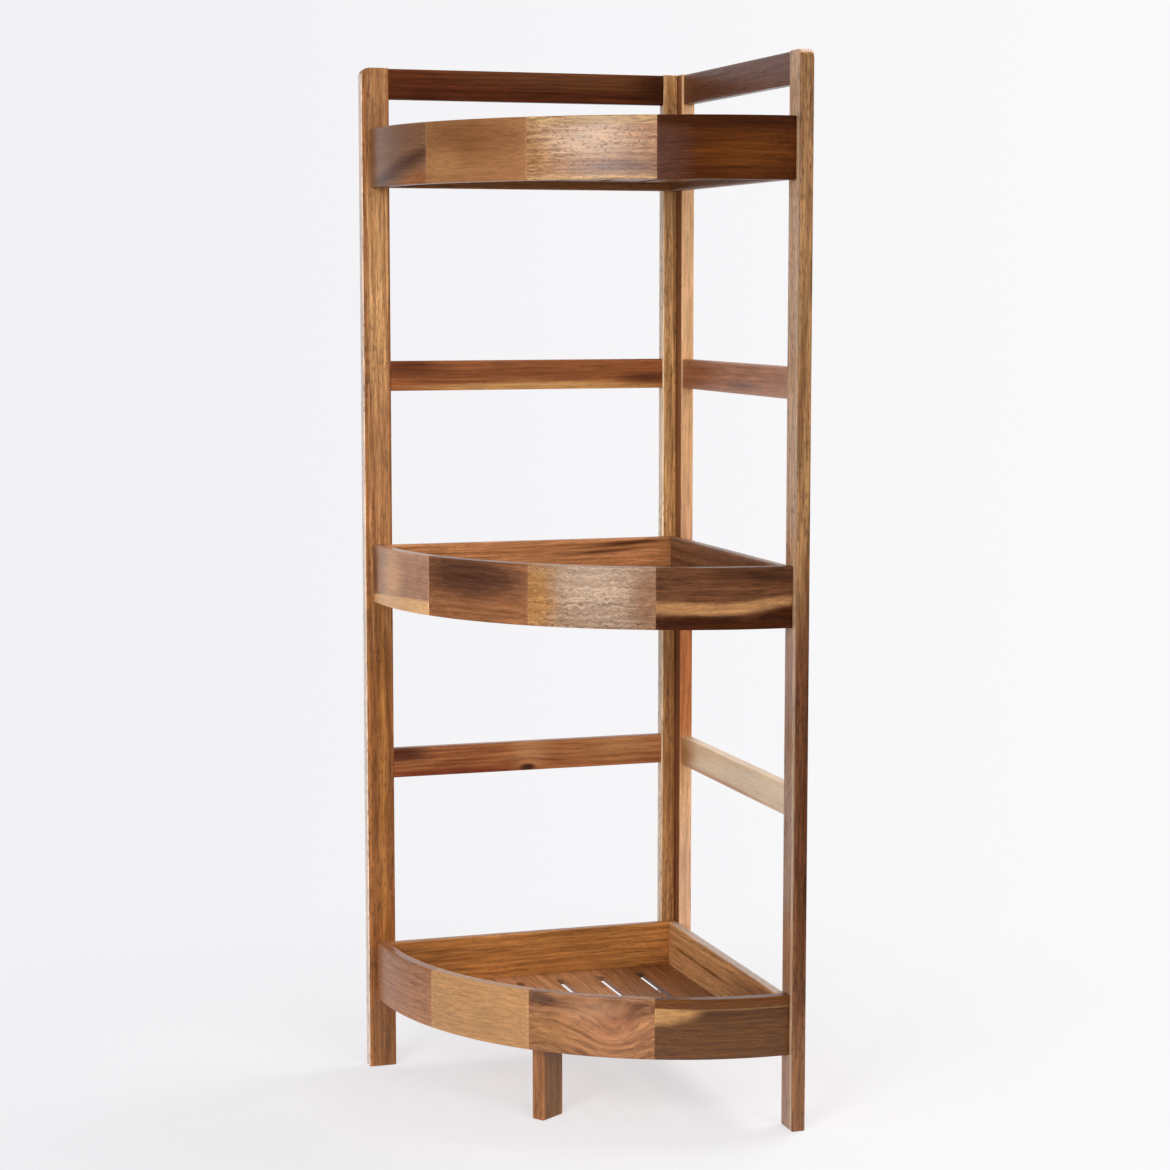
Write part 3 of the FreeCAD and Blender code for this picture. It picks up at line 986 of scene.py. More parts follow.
def board_section(width: float, thick: float, groove: Groove | None = None) -> list[SectionPoint]:
    """Section of a board with rounded edges.

    Args:
        width: Size across the board's face.
        thick: Size out of the face.
        groove: Groove in one of the faces.

    Returns:
        Points of the closed outline.
    """
    corners = (
        (EASE, EASE, width, Vector((1.0, 0.0))),
        (width - EASE, EASE, thick, Vector((0.0, 1.0))),
        (width - EASE, thick - EASE, width, Vector((-1.0, 0.0))),
        (EASE, thick - EASE, thick, Vector((0.0, -1.0))),
    )
    points: list[SectionPoint] = []
    for number, (x, y, length, way) in enumerate(corners):
        for step in range(ARC_STEPS + 1):
            angle = HALF_TURN + RIGHT_ANGLE * (number + step / ARC_STEPS)
            wear_and_sheen = EDGE_WEAR_AND_SHEEN if 0 < step < ARC_STEPS else RIM_WEAR_AND_SHEEN
            points.append(SectionPoint(x + EASE * math.cos(angle), y + EASE * math.sin(angle), wear_and_sheen))
        flat_start = Vector((points[-1].across, points[-1].out))
        flat_end = flat_start + way * (length - 2.0 * EASE)
        points.append(SectionPoint(*(flat_start + way * SUPPORT), 0.0))
        if groove and number == groove.side():
            points += groove.outline(thick)
        points.append(SectionPoint(*(flat_end - way * SUPPORT), 0.0))
    return points


def arc_shares(steps: int) -> list[float]:
    """Places on a quarter circle's radius where its facets meet, as shares of the radius."""
    return [1.0 - math.cos(RIGHT_ANGLE * step / steps) for step in range(steps + 1)]


def drawn_in(distance: float, radius: float) -> float:
    """How far a rounding draws a side in at a distance from the end."""
    past = max(radius - distance, 0.0)
    return radius - math.sqrt(radius ** 2 - past ** 2)


def board_stations(length: float, ends: BoardEnds, steps: Sequence[float] = ()) -> list[Station]:
    """Places along a board where its section stands.

    Args:
        length: Length of the board.
        ends: Roundings of its ends.
        steps: Further places along it.

    Returns:
        The stations from start to finish.
    """
    places = set(steps) | {0.0, length, ends.start + SUPPORT, length - ends.finish - SUPPORT}
    for share in arc_shares(ARC_STEPS)[1:]:
        places |= {ends.start * share, length - ends.finish * share}
    for corner in (ends.low_corner, ends.high_corner):
        if corner:
            places |= {length - corner * share for share in arc_shares(CORNER_STEPS)}
    stations = []
    for along in sorted(places):
        left = length - along
        plain = max(drawn_in(along, ends.start), drawn_in(left, ends.finish))
        low = max(plain, drawn_in(left, ends.low_corner))
        high = max(plain, drawn_in(left, ends.high_corner))
        worn_and_sheened = EDGE_WEAR_AND_SHEEN if along <= ends.start or left <= ends.finish else 0.0
        stations.append(Station(along, low, high, plain, worn_and_sheened))
    return stations


def swept_board(name: str, section: Sequence[SectionPoint], stations: Sequence[Station],
                place: Placer) -> Piece:
    """Board with a section carried along it.

    Args:
        name: Name of the piece.
        section: Outline of the section.
        stations: Where the section stands along the board.
        place: Gives the point for a distance across, out and along the board.

    Returns:
        The new closed piece, with its edges marked for wear and painted sheen and its ends marked, in
        attributes.
    """
    width = max(point.across for point in section)
    thick = max(point.out for point in section)
    work = bmesh.new()
    wear_and_sheen = work.verts.layers.float.new("wear_and_sheen")
    end = work.faces.layers.float.new("end")
    rows = []
    for station in stations:
        row = []
        for point in section:
            across = station.low + point.across * (width - station.low - station.high) / width
            out = station.thin + point.out * (thick - 2.0 * station.thin) / thick
            vertex = work.verts.new(place(across, out, station.along))
            vertex[wear_and_sheen] = max(point.wear_and_sheen, station.wear_and_sheen)
            row.append(vertex)
        rows.append(row)
    for first, second in zip(rows, rows[1:]):
        for number in range(len(section)):
            following = (number + 1) % len(section)
            work.faces.new((first[number], first[following], second[following], second[number]))
    for row in (rows[0], rows[-1]):
        work.faces.new(row)[end] = 1.0
    bmesh.ops.recalc_face_normals(work, faces=work.faces)
    piece = new_object(name, mesh_of(work, name))
    shade(piece.data)
    return piece


def mesh_of(work: bmesh.types.BMesh, name: str) -> bpy.types.Mesh:
    """Turns a mesh under construction into a finished one.

    Args:
        work: The mesh under construction, which is freed.
        name: Name of the mesh.

    Returns:
        The new mesh.
    """
    mesh = bpy.data.meshes.new(name)
    work.to_mesh(mesh)
    work.free()
    return mesh


def new_object(name: str, data: bpy.types.ID) -> bpy.types.Object:
    """Puts a mesh, a lamp or a camera in the scene.

    Args:
        name: Name of the object.
        data: The mesh, the lamp or the camera.

    Returns:
        The new object.
    """
    made = bpy.data.objects.new(name, data)
    bpy.context.scene.collection.objects.link(made)
    return made


def shade(mesh: bpy.types.Mesh) -> None:
    """Shades a mesh smooth but for its sharp edges."""
    mesh.shade_smooth()
    mesh.set_sharp_from_angle(angle=SHARP_ANGLE)


def plain_mesh(piece: Piece) -> None:
    """Turns what a piece's modifiers make into its own mesh and shades it.

    Args:
        piece: The piece.
    """
    graph = bpy.context.evaluated_depsgraph_get()
    result = piece.evaluated_get(graph)
    made = bpy.data.meshes.new_from_object(result, preserve_all_data_layers=True, depsgraph=graph)
    piece.modifiers.clear()
    old = piece.data
    piece.data = made
    bpy.data.meshes.remove(old)
    made.name = piece.name
    shade(made)


def run_tree(piece: Piece, tree: NodeTree, values: dict[str, object]) -> None:
    """Runs a geometry node tree on a piece and keeps the result as a plain mesh.

    Args:
        piece: The piece.
        tree: The node tree.
        values: Values by the name of the tree's input.
    """
    modifier = piece.modifiers.new(tree.name, "NODES")
    modifier.node_group = tree
    for item in tree.interface.items_tree:
        if item.in_out == "INPUT" and item.name in values:
            modifier[item.identifier] = values[item.name]
    plain_mesh(piece)


@dataclass(frozen=True)
class Hole:
    """Round blind hole from a point on a surface, cut from a little outside it."""

    start: Vector
    way: Vector
    radius: float
    depth: float
    lead: float = 1.0 * MM


def drill(piece: Piece, holes: Sequence[Hole]) -> None:
    """Cuts round holes into a piece.

    Args:
        piece: The piece to cut.
        holes: The holes.
    """
    work = bmesh.new()
    for hole in holes:
        middle = Matrix.Translation(hole.start + hole.way * (hole.depth - hole.lead) / 2.0)
        turn = Z_AXIS.rotation_difference(hole.way).to_matrix().to_4x4()
        bmesh.ops.create_cone(work, cap_ends=True, segments=HOLE_SIDES, radius1=hole.radius,
                              radius2=hole.radius, depth=hole.depth + hole.lead, matrix=middle @ turn)
    mesh = mesh_of(work, "drill")
    cutter = new_object("drill", mesh)
    modifier = piece.modifiers.new("Holes", "BOOLEAN")
    modifier.object = cutter
    modifier.solver = "EXACT"
    plain_mesh(piece)
    bpy.data.objects.remove(cutter)
    bpy.data.meshes.remove(mesh)


def straight_board(node: str, low: Vector, high: Vector, axes: BoardAxes, ends: BoardEnds,
                   groove: Groove | None = None) -> Piece:
    """Straight board in the box between two corners.

    Args:
        node: The CAD node that it stands for.
        low: Lowest corner.
        high: Highest corner.
        axes: The board's own axes.
        ends: Roundings of its ends.
        groove: Groove along the board.

    Returns:
        The new piece.
    """
    size = high - low
    width, thick, length = (abs(size.dot(axis)) for axis in (axes.across, axes.out, axes.along))
    section = board_section(width, thick, groove)
    place = axes.placer(width, thick, length)
    return swept_board(node + "_board", section, board_stations(length, ends), place)


# Dressing and fitting


class Workshop:
    """Dresses pieces and fits them to the frame, with the materials and node trees that they share."""

    def __init__(self, record: dict) -> None:
        """Builds what the sub-assemblies share.

        Args:
            record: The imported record, which gives each node's material slot.
        """
        self.slots = {part["node"]: part["material_slot"] for part in record["subparts"]}
        self.wood = WoodShop()
        self.dowel_tree = DowelTree().tree
        self.floor_tree = FloorTree().tree

    def fit(self, piece: Piece, node: str, material: Material) -> None:
        """Gives a piece its material and lets it stand for a CAD node.

        Args:
            piece: The finished piece.
            node: The CAD node.
            material: The piece's material.
        """
        piece.data.materials.clear()
        piece.data.materials.append(material)
        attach(piece, BODY)
        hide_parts(node)
        LOG.info("%s stands for %s, %d faces", piece.name, node, len(piece.data.polygons))

    def dress(self, piece: Piece, node: str, timber: Timber, axes: BoardAxes) -> None:
        """Makes a board's material and fits the board."""
        self.fit(piece, node, self.wood.material(node, timber, axes))


# Dowels


class DowelTree(ShapeWriter):
    """Geometry nodes for fluted dowels on points, each turned to the point's aim."""

    def __init__(self) -> None:
        """Makes the tree's inputs and writes its nodes."""
        super().__init__("Fluted Dowels", {
            "Length": FLOAT, "Radius": FLOAT, "Chamfer": FLOAT, "Flutes": WHOLE, "Flute Depth": FLOAT})
        half = self.math("MULTIPLY", self.given["Length"], 0.5)
        seated = self.output("GeometryNodeTransform", {
            "Geometry": self.fluted(self.bevelled_rod()),
            "Translation": self.joined(0.0, 0.0, half),
        })
        aim = {"Vector": self.mark("aim", "FLOAT_VECTOR")}
        self.finish(self.output("GeometryNodeInstanceOnPoints", {
            "Points": self.given["Geometry"],
            "Instance": seated,
            "Rotation": self.output("FunctionNodeAlignRotationToVector", aim, axis="Z"),
        }))

    def bevelled_rod(self) -> Socket:
        """Rod with both ends drawn out to a bevel.

        Returns:
            Socket of the rod.
        """
        chamfer = self.given["Chamfer"]
        radius = self.given["Radius"]
        straight = self.math("SUBTRACT", self.given["Length"], self.math("MULTIPLY", chamfer, 2.0))
        rod = self.rod(DOWEL_SIDES, radius, straight)
        caps = self.output("FunctionNodeBooleanMath", {0: rod["Top"], 1: rod["Bottom"]}, operation="OR")
        raised = self.add("GeometryNodeExtrudeMesh", {
            "Mesh": rod["Mesh"], "Selection": caps, "Offset Scale": chamfer}, mode="FACES").outputs
        narrow = self.math("SUBTRACT", 1.0, self.math("DIVIDE", chamfer, radius))
        return self.output("GeometryNodeScaleElements", {
            "Geometry": raised["Mesh"], "Selection": raised["Top"], "Scale": narrow})

    def fluted(self, rod: Socket) -> Socket:
        """Presses flutes into a rod.

        Args:
            rod: Socket of the plain rod.

        Returns:
            Socket of the fluted rod.
        """
        place = self.place()
        parts = self.parts(place)
        turn = self.math("MULTIPLY", self.math("ARCTAN2", parts[1], parts[0]), self.given["Flutes"])
        wave = self.largest(self.math("COSINE", turn), 0.0)
        share = self.math("SUBTRACT", 1.0, self.math("MULTIPLY", wave, self.given["Flute Depth"]))
        pressed = self.vector("MULTIPLY", place, self.joined(share, share, 1.0))
        return self.output("GeometryNodeSetPosition", {"Geometry": rod, "Position": pressed})


@dataclass(frozen=True)
class Dowels:
    """Glued dowels of one CAD node, set in from surfaces and flush with them."""

    node: str
    starts: tuple[Vector, ...]
    ways: tuple[Vector, ...]
    length: float
    radius: float = 2.5 * MM
    room: float = 0.05 * MM
    end_room: float = 0.5 * MM
    sink: float = 0.1 * MM
    chamfer: float = 0.4 * MM
    flutes: int = 12
    flute_depth: float = 0.05

    def holes(self) -> list[Hole]:
        """Holes that the dowels need."""
        sizes = (self.radius + self.room, self.length + self.end_room)
        return [Hole(start, way, *sizes) for start, way in zip(self.starts, self.ways)]

    def build(self, shop: Workshop, along: Vector, across: Vector) -> None:
        """Makes and dresses the dowels.

        Args:
            shop: Dresses pieces and fits them to the frame.
            along: The way of their grain.
            across: The way across their grain.
        """
        points = bpy.data.meshes.new(self.node + "_pegs")
        points.from_pydata([start + way * self.sink for start, way in zip(self.starts, self.ways)], [], [])
        aims = points.attributes.new("aim", "FLOAT_VECTOR", "POINT")
        for number, way in enumerate(self.ways):
            aims.data[number].vector = way
        piece = new_object(self.node + "_pegs", points)
        axes = BoardAxes(self.starts[0], along, across, along.cross(across))
        material = shop.wood.material(self.node, DOWEL_TIMBER, axes)
        run_tree(piece, shop.dowel_tree, {
            "Length": self.length - self.sink,
            "Radius": self.radius,
            "Chamfer": self.chamfer,
            "Flutes": self.flutes,
            "Flute Depth": self.flute_depth,
            "Material": material,
        })
        shop.fit(piece, self.node, material)


# Sub-assemblies


@dataclass(frozen=True)
class Ladder:
    """Two posts and three rails in one plane."""

    side: Side
    post_ease: float = 0.9 * MM
    post_round: float = 8.0 * MM
    rail_names: tuple[str, ...] = ("top", "middle", "low")

    def node(self, name: str) -> str:
        """CAD node of one of the ladder's pieces."""
        return "%s_%s" % (self.side.value, name)

    def axes(self, low: Vector, high: Vector, upright: bool) -> BoardAxes:
        """Finds the axes of a post or a rail.

        Args:
            low: Lowest corner of its box.
            high: Highest corner of its box.
            upright: Whether it is a post.

        Returns:
            Its own axes.
        """
        is_left = self.side is Side.LEFT
        out = -Y_AXIS if is_left else -X_AXIS
        if upright:
            return BoardAxes((low + high) / 2.0, Z_AXIS, -X_AXIS if is_left else Y_AXIS, out)
        return BoardAxes((low + high) / 2.0, X_AXIS if is_left else -Y_AXIS, Z_AXIS, out)

    def build(self, shop: Workshop, holes: Sequence[Hole]) -> None:
        """Builds and dresses the ladder.

        Args:
            shop: Dresses pieces and fits them to the frame.
            holes: Dowel holes, of which each post takes those in its own body.
        """
        for name, corner in (("front_post", self.post_round), ("back_post", 0.0)):
            self.build_post(self.node(name), corner, shop, holes)
        for name in self.rail_names:
            self.build_rail(self.node(name + "_rail"), shop)

    def build_post(self, node: str, corner: float, shop: Workshop, holes: Sequence[Hole]) -> None:
        """Builds one post.

        Args:
            node: The CAD node.
            corner: Rounding of its outer top corner.
            shop: Dresses pieces and fits them to the frame.
            holes: Dowel holes of the whole unit.
        """
        low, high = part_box(node)
        axes = self.axes(low, high, upright=True)
        corners = (0.0, corner) if self.side is Side.LEFT else (corner, 0.0)
        ends = BoardEnds(self.post_ease, self.post_ease, *corners)
        piece = straight_board(node, low, high, axes, ends)
        own = [hole for hole in holes if within(hole.start, low, high)]
        if own:
            drill(piece, own)
        shop.dress(piece, node, LADDER_TIMBER[node], axes)

    def build_rail(self, node: str, shop: Workshop) -> None:
        """Builds one rail, as far as it shows between its posts.

        Args:
            node: The CAD node.
            shop: Dresses pieces and fits them to the frame.
        """
        low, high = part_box(node)
        axis = 0 if self.side is Side.LEFT else 1
        low[axis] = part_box(self.node("front_post"))[1][axis]
        high[axis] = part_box(self.node("back_post"))[0][axis]
        axes = self.axes(low, high, upright=False)
        piece = straight_board(node, low, high, axes, BoardEnds())
        shop.dress(piece, node, LADDER_TIMBER[node], axes)


def within(point: Vector, low: Vector, high: Vector) -> bool:
    """Whether a point is in the box between two corners, or on it."""
    return all(low[axis] - MM < point[axis] < high[axis] + MM for axis in range(3))


class FloorTree(ShapeWriter):
    """Geometry nodes for a slotted quarter-round panel, laid out from its square corner."""

    def __init__(self) -> None:
        """Makes the tree's inputs and writes its nodes."""
        super().__init__("Slotted Floor", {
            "Radius": FLOAT, "Thickness": FLOAT, "Corner": VECTOR, "Slots": WHOLE, "Slot Width": FLOAT,
            "Margin": FLOAT, "Side": FLOAT, "Arc Centre": FLOAT, "Clear Radius": FLOAT, "Painted Wall Shade": FLOAT})
        self.half = self.math("MULTIPLY", self.given["Slot Width"], 0.5)
        slotted = self.output("GeometryNodeMeshBoolean", {0: self.panel(), 1: self.cutters()},
                              operation="DIFFERENCE", solver="EXACT")
        self.finish(self.output("GeometryNodeTransform", {
            "Geometry": slotted,
            "Translation": self.given["Corner"],
            "Rotation": (0.0, 0.0, HALF_TURN),
        }))

    def panel(self) -> Socket:
        """Closed quarter-round panel without slots.

        Returns:
            Socket of the panel.
        """
        fan = self.output("GeometryNodeCurveArc", {
            "Resolution": CURVE_POINTS, "Radius": self.given["Radius"], "Start Angle": 0.0,
            "Sweep Angle": RIGHT_ANGLE, "Connect Center": True}, mode="RADIUS")
        sheet = self.output("GeometryNodeFillCurve", {0: fan}, mode="NGONS")
        rise = self.joined(0.0, 0.0, self.given["Thickness"])
        body = self.output("GeometryNodeExtrudeMesh", {"Mesh": sheet, "Offset": rise, "Individual": False},
                           mode="FACES")
        whole = self.add("GeometryNodeJoinGeometry")
        for part in (self.output("GeometryNodeFlipFaces", {0: sheet}), body):
            self.feed(whole.inputs[0], part)
        return self.output("GeometryNodeMergeByDistance", {"Geometry": whole.outputs[0], "Distance": WELD})

    def slot_starts(self) -> Socket:
        """Points at the slots' near ends, marked with how far the slots reach from there.

        Returns:
            Socket of the points.
        """
        given = self.given
        centre = given["Arc Centre"]
        radius = given["Clear Radius"]
        clear = self.math("ADD", given["Margin"], self.half)
        near = self.math("ADD", given["Side"], clear)
        span = self.math("SUBTRACT", self.math("ADD", centre, radius), given["Side"])
        pitch = self.math("DIVIDE", span, self.math("ADD", given["Slots"], 1.0))
        number = self.math("ADD", self.output("GeometryNodeInputIndex"), 1.0)
        x = self.line(number, pitch, given["Side"])
        points = self.output("GeometryNodePoints", {
            "Count": given["Slots"], "Position": self.joined(x, near, 0.0)})
        edge = self.math("SUBTRACT", self.math("ADD", x, self.half), centre)
        squares = self.math("SUBTRACT", self.product(radius, radius), self.product(edge, edge))
        far = self.math("SUBTRACT", self.math("ADD", centre, self.math("SQRT", squares)), clear)
        return self.marked(points, "reach", self.math("SUBTRACT", far, near))

    def slot_end(self) -> Socket:
        """Round cutter as wide as a slot, with its far half marked.

        Returns:
            Socket of the cutter.
        """
        rod = self.rod(HOLE_SIDES, self.half, self.math("MULTIPLY", self.given["Thickness"], CUTTER_DEPTH))
        half_side = RIGHT_ANGLE * 2.0 / HOLE_SIDES
        turned = self.output("GeometryNodeTransform", {
            "Geometry": rod["Mesh"], "Rotation": (0.0, 0.0, half_side)})
        return self.marked(turned, "far", self.math("GREATER_THAN", self.parts(self.place())[1], 0.0))

    def cutters(self) -> Socket:
        """Cutters drawn out to the length of the slots, marked with the painted shade of the walls that they
        leave.

        Returns:
            Socket of the cutters.
        """
        ends = self.output("GeometryNodeInstanceOnPoints", {
            "Points": self.slot_starts(), "Instance": self.slot_end()})
        far = self.mark("far")
        drawn_out = self.output("GeometryNodeSetPosition", {
            "Geometry": self.output("GeometryNodeRealizeInstances", {0: ends}),
            "Offset": self.joined(0.0, self.math("MULTIPLY", self.mark("reach"), far), 0.0),
        })
        near = self.math("SUBTRACT", 1.0, far)
        # painted shade on the slot walls, strongest at the round ends by the side, stored in the end grain's
        # mark
        return self.marked(drawn_out, "end", self.product(near, near, self.given["Painted Wall Shade"]), "FACE")


@dataclass(frozen=True)
class SlottedFloor:
    """Quarter-round panel with parallel slots, each as long as the curved front allows."""

    count: int = 6
    width: float = 7.0 * MM
    margin: float = 21.5 * MM
    stave: float = 37.5 * MM
    arc_shortfall: float = 0.5 * MM
    # painted shade of the slot walls, in units of an end grain's darkening
    painted_wall_shade: float = 1.7

    def build(self, node: str, side: float, arc_centre: float, clear_radius: float, tree: NodeTree,
              material: Material) -> Piece:
        """Makes the floor of one tray.

        Args:
            node: The CAD node that it stands for.
            side: Inner face of the tray's sides in the world.
            arc_centre: Centre of the curved front in the world, the same in X and Y.
            clear_radius: Inner radius of the curved front.
            tree: The node tree of the floors.
            material: The floor's material.

        Returns:
            The new piece.
        """
        low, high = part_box(node)
        piece = new_object(node + "_panel", bpy.data.meshes.new(node + "_panel"))
        run_tree(piece, tree, {
            "Radius": high.x - low.x - self.arc_shortfall,
            "Thickness": high.z - low.z,
            "Corner": Vector((high.x, high.y, low.z)),
            "Slots": self.count,
            "Slot Width": self.width,
            "Margin": self.margin,
            "Side": high.x - side,
            "Arc Centre": high.x - arc_centre,
            "Clear Radius": clear_radius,
            "Painted Wall Shade": self.painted_wall_shade,
            "Material": material,
        })
        return piece


@dataclass(frozen=True)
class Tray:
    """Quarter-round tray: two straight sides, a curved front of four blocks and a slotted floor."""

    level: Level
    floor: SlottedFloor = SlottedFloor()
    blocks: int = 4
    front_thick: float = 10.0 * MM
    arc_inset: float = 4.0 * MM
    groove_room: float = 0.2 * MM
    block_facets: int = 12
    dowel_length: float = 35.0 * MM
    dowelled: tuple[str, ...] = ("front_block_1", "front_block_4", "left_side")

    def node(self, name: str) -> str:
        """CAD node of one of the tray's pieces."""
        return "%s_tray_%s" % (self.level.value, name)

    def arc(self) -> tuple[float, float]:
        """Finds the circle of the curved front.

        Returns:
            Its centre, the same in X and Y, and its outer radius.
        """
        low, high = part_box(self.node("front_block_1"))
        centre = high.y - self.arc_inset
        return centre, centre - low.x

    def dowels(self) -> Dowels:
        """Finds the dowels that fix the tray to its posts.

        Returns:
            The dowels, in the order of the pieces that they enter.
        """
        node = self.node("dowels")
        low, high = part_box(node)
        height = (low.z + high.z) / 2.0
        side_low, side_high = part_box(self.node("left_side"))
        starts = (
            Vector((low.x + Dowels.radius, high.y, height)),
            Vector((high.x, low.y + Dowels.radius, height)),
            Vector((high.x, (side_low.y + side_high.y) / 2.0, height)),
        )
        return Dowels(node, starts, (-Y_AXIS, -X_AXIS, -X_AXIS), self.dowel_length)

    def drill_for(self, name: str, piece: Piece) -> None:
        """Drills the holes of the dowels that enter a piece.

        Args:
            name: Name of the piece in the tray.
            piece: The piece.
        """
        holes = [hole for entered, hole in zip(self.dowelled, self.dowels().holes()) if entered == name]
        if holes:
            drill(piece, holes)

    def groove(self, low: Vector, depth: float, outside: bool) -> Groove:
        """Finds the groove for the floor in a board.

        Args:
            low: Lowest corner of the board.
            depth: Depth of the groove.
            outside: Whether it is in the board's outer face.

        Returns:
            The groove.
        """
        floor_low, floor_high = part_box(self.node("slotted_floor"))
        return Groove(floor_low.z - low.z, floor_high.z - low.z + self.groove_room, depth, outside)

    def build(self, shop: Workshop, floor_holes: Sequence[Hole]) -> None:
        """Builds and dresses the tray.

        Args:
            shop: Dresses pieces and fits them to the frame.
            floor_holes: Further dowel holes in the floor.
        """
        for name, grain in (("left_side", X_AXIS), ("right_side", -Y_AXIS)):
            self.build_side(name, grain, shop)
        for number, timber in enumerate(FRONT_TIMBER[self.level]):
            self.build_block(number, timber, shop)
        self.build_floor(shop, floor_holes)
        self.dowels().build(shop, X_AXIS, Z_AXIS)

    def build_side(self, name: str, grain: Vector, shop: Workshop) -> None:
        """Builds one straight side.

        Args:
            name: Name of the side in the tray.
            grain: The way of its grain.
            shop: Dresses pieces and fits them to the frame.
        """
        node = self.node(name)
        low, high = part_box(node)
        axes = BoardAxes((low + high) / 2.0, grain, Z_AXIS, grain.cross(Z_AXIS))
        thin = 0 if abs(axes.out.x) > abs(axes.out.y) else 1
        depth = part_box(self.node("slotted_floor"))[1][thin] - low[thin] + self.groove_room
        piece = straight_board(node, low, high, axes, BoardEnds(), self.groove(low, depth, outside=True))
        self.drill_for(name, piece)
        shop.dress(piece, node, SIDE_TIMBER[node], axes)

    def build_block(self, number: int, timber: Timber, shop: Workshop) -> None:
        """Builds one block of the curved front, counted from the left.

        Args:
            number: 0 for the block at the left ladder.
            timber: Its cut of timber.
            shop: Dresses pieces and fits them to the frame.
        """
        name = "front_block_%d" % (number + 1)
        node = self.node(name)
        low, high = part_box(node)
        centre, radius = self.arc()
        sweep = RIGHT_ANGLE / self.blocks
        first = sweep * number * radius - (self.arc_inset if number == 0 else 0.0)
        last = sweep * (number + 1) * radius + (self.arc_inset if number + 1 == self.blocks else 0.0)
        length = last - first
        inner = radius - self.front_thick
        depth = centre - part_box(self.node("slotted_floor"))[0].x - inner + self.groove_room
        section = board_section(high.z - low.z, self.front_thick, self.groove(low, depth, outside=False))
        steps = [length * step / self.block_facets for step in range(1, self.block_facets)]
        stations = board_stations(length, BoardEnds(), steps)
        piece = swept_board(node + "_board", section, stations, self.front_placer(first, low.z))
        self.drill_for(name, piece)
        angle = sweep * (number + 0.5)
        along = Vector((math.sin(angle), -math.cos(angle), 0.0))
        out = along.cross(Z_AXIS)
        middle = Vector((centre, centre, (low.z + high.z) / 2.0)) + out * radius
        shop.dress(piece, node, timber, BoardAxes(middle, along, Z_AXIS, out))

    def front_placer(self, first: float, height: float) -> Placer:
        """Finds how a block's own measures give points in the world.

        Args:
            first: Where the block starts along the outer face, from where the curve starts at the left.
            height: Height of its lower edge.

        Returns:
            Function of the distances across, out and along.
        """
        centre, radius = self.arc()
        inner = radius - self.front_thick

        def place(across: float, out: float, along: float) -> Vector:
            """Point of the block, which runs on straight past the ends of the curve.

            Args:
                across: Distance up from its lower edge.
                out: Distance out from its inner face.
                along: Distance from its start along the outer face.

            Returns:
                The point.
            """
            run = first + along
            angle = min(max(run / radius, 0.0), RIGHT_ANGLE)
            past = run - angle * radius
            way = Vector((math.cos(angle), math.sin(angle), 0.0))
            ahead = Vector((-math.sin(angle), math.cos(angle), 0.0))
            flat = way * (inner + out) + ahead * past
            return Vector((centre - flat.x, centre - flat.y, height + across))

        return place

    def build_floor(self, shop: Workshop, holes: Sequence[Hole]) -> None:
        """Builds the slotted floor.

        Args:
            shop: Dresses pieces and fits them to the frame.
            holes: Dowel holes in it.
        """
        node = self.node("slotted_floor")
        low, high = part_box(node)
        axes = BoardAxes((low + high) / 2.0, -Y_AXIS, X_AXIS, Z_AXIS)
        material = shop.wood.material(node, FLOOR_TIMBER[self.level], axes, self.floor.stave)
        centre, radius = self.arc()
        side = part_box(self.node("right_side"))[0].x
        clear_radius = radius - self.front_thick
        piece = self.floor.build(node, side, centre, clear_radius, shop.floor_tree, material)
        if holes:
            drill(piece, holes)
        shop.fit(piece, node, material)


@dataclass(frozen=True)
class FrontLeg:
    """Short leg under the curved front of the bottom tray."""

    node: str = "front_leg"
    width: float = 26.0 * MM
    thick: float = 12.0 * MM
    bearing: float = math.radians(34.0)
    ease: float = 0.8 * MM
    dowel_length: float = 30.0 * MM

    def dowels(self) -> Dowels:
        """Finds the dowel between the tray's floor and the leg.

        Returns:
            The one dowel.
        """
        node = self.node + "_dowel"
        low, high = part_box(node)
        start = Vector(((low.x + high.x) / 2.0, (low.y + high.y) / 2.0, high.z))
        return Dowels(node, (start,), (-Z_AXIS,), self.dowel_length)

    def build(self, shop: Workshop) -> None:
        """Builds and dresses the leg and its dowel.

        Args:
            shop: Dresses pieces and fits them to the frame.
        """
        low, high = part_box(self.node)
        height = high.z - low.z
        across = Vector((math.cos(self.bearing), math.sin(self.bearing), 0.0))
        axes = BoardAxes((low + high) / 2.0, Z_AXIS, across, Z_AXIS.cross(across))
        section = board_section(self.width, self.thick)
        stations = board_stations(height, BoardEnds(self.ease, JOINT_EASE))
        place = axes.placer(self.width, self.thick, height)
        piece = swept_board(self.node + "_board", section, stations, place)
        dowels = self.dowels()
        drill(piece, dowels.holes())
        shop.dress(piece, self.node, LEG_TIMBER, axes)
        dowels.build(shop, Z_AXIS, across)


# Studio


@dataclass(frozen=True)
class Softbox:
    """Rectangular soft light that faces the shelf."""

    name: str
    place: Triple
    target: Triple
    size: tuple[float, float]
    power: float
    mirrored: bool = True

    def build(self) -> None:
        """Makes the lamp, which shows in reflections only where it is mirrored."""
        data = bpy.data.lights.new(self.name, "AREA")
        data.shape = "RECTANGLE"
        data.size, data.size_y = self.size
        data.energy = self.power
        lamp = new_object(self.name, data)
        lamp.visible_glossy = self.mirrored
        lamp.location = self.place
        way = Vector(self.target) - Vector(self.place)
        lamp.rotation_euler = way.to_track_quat("-Z", "Y").to_euler()


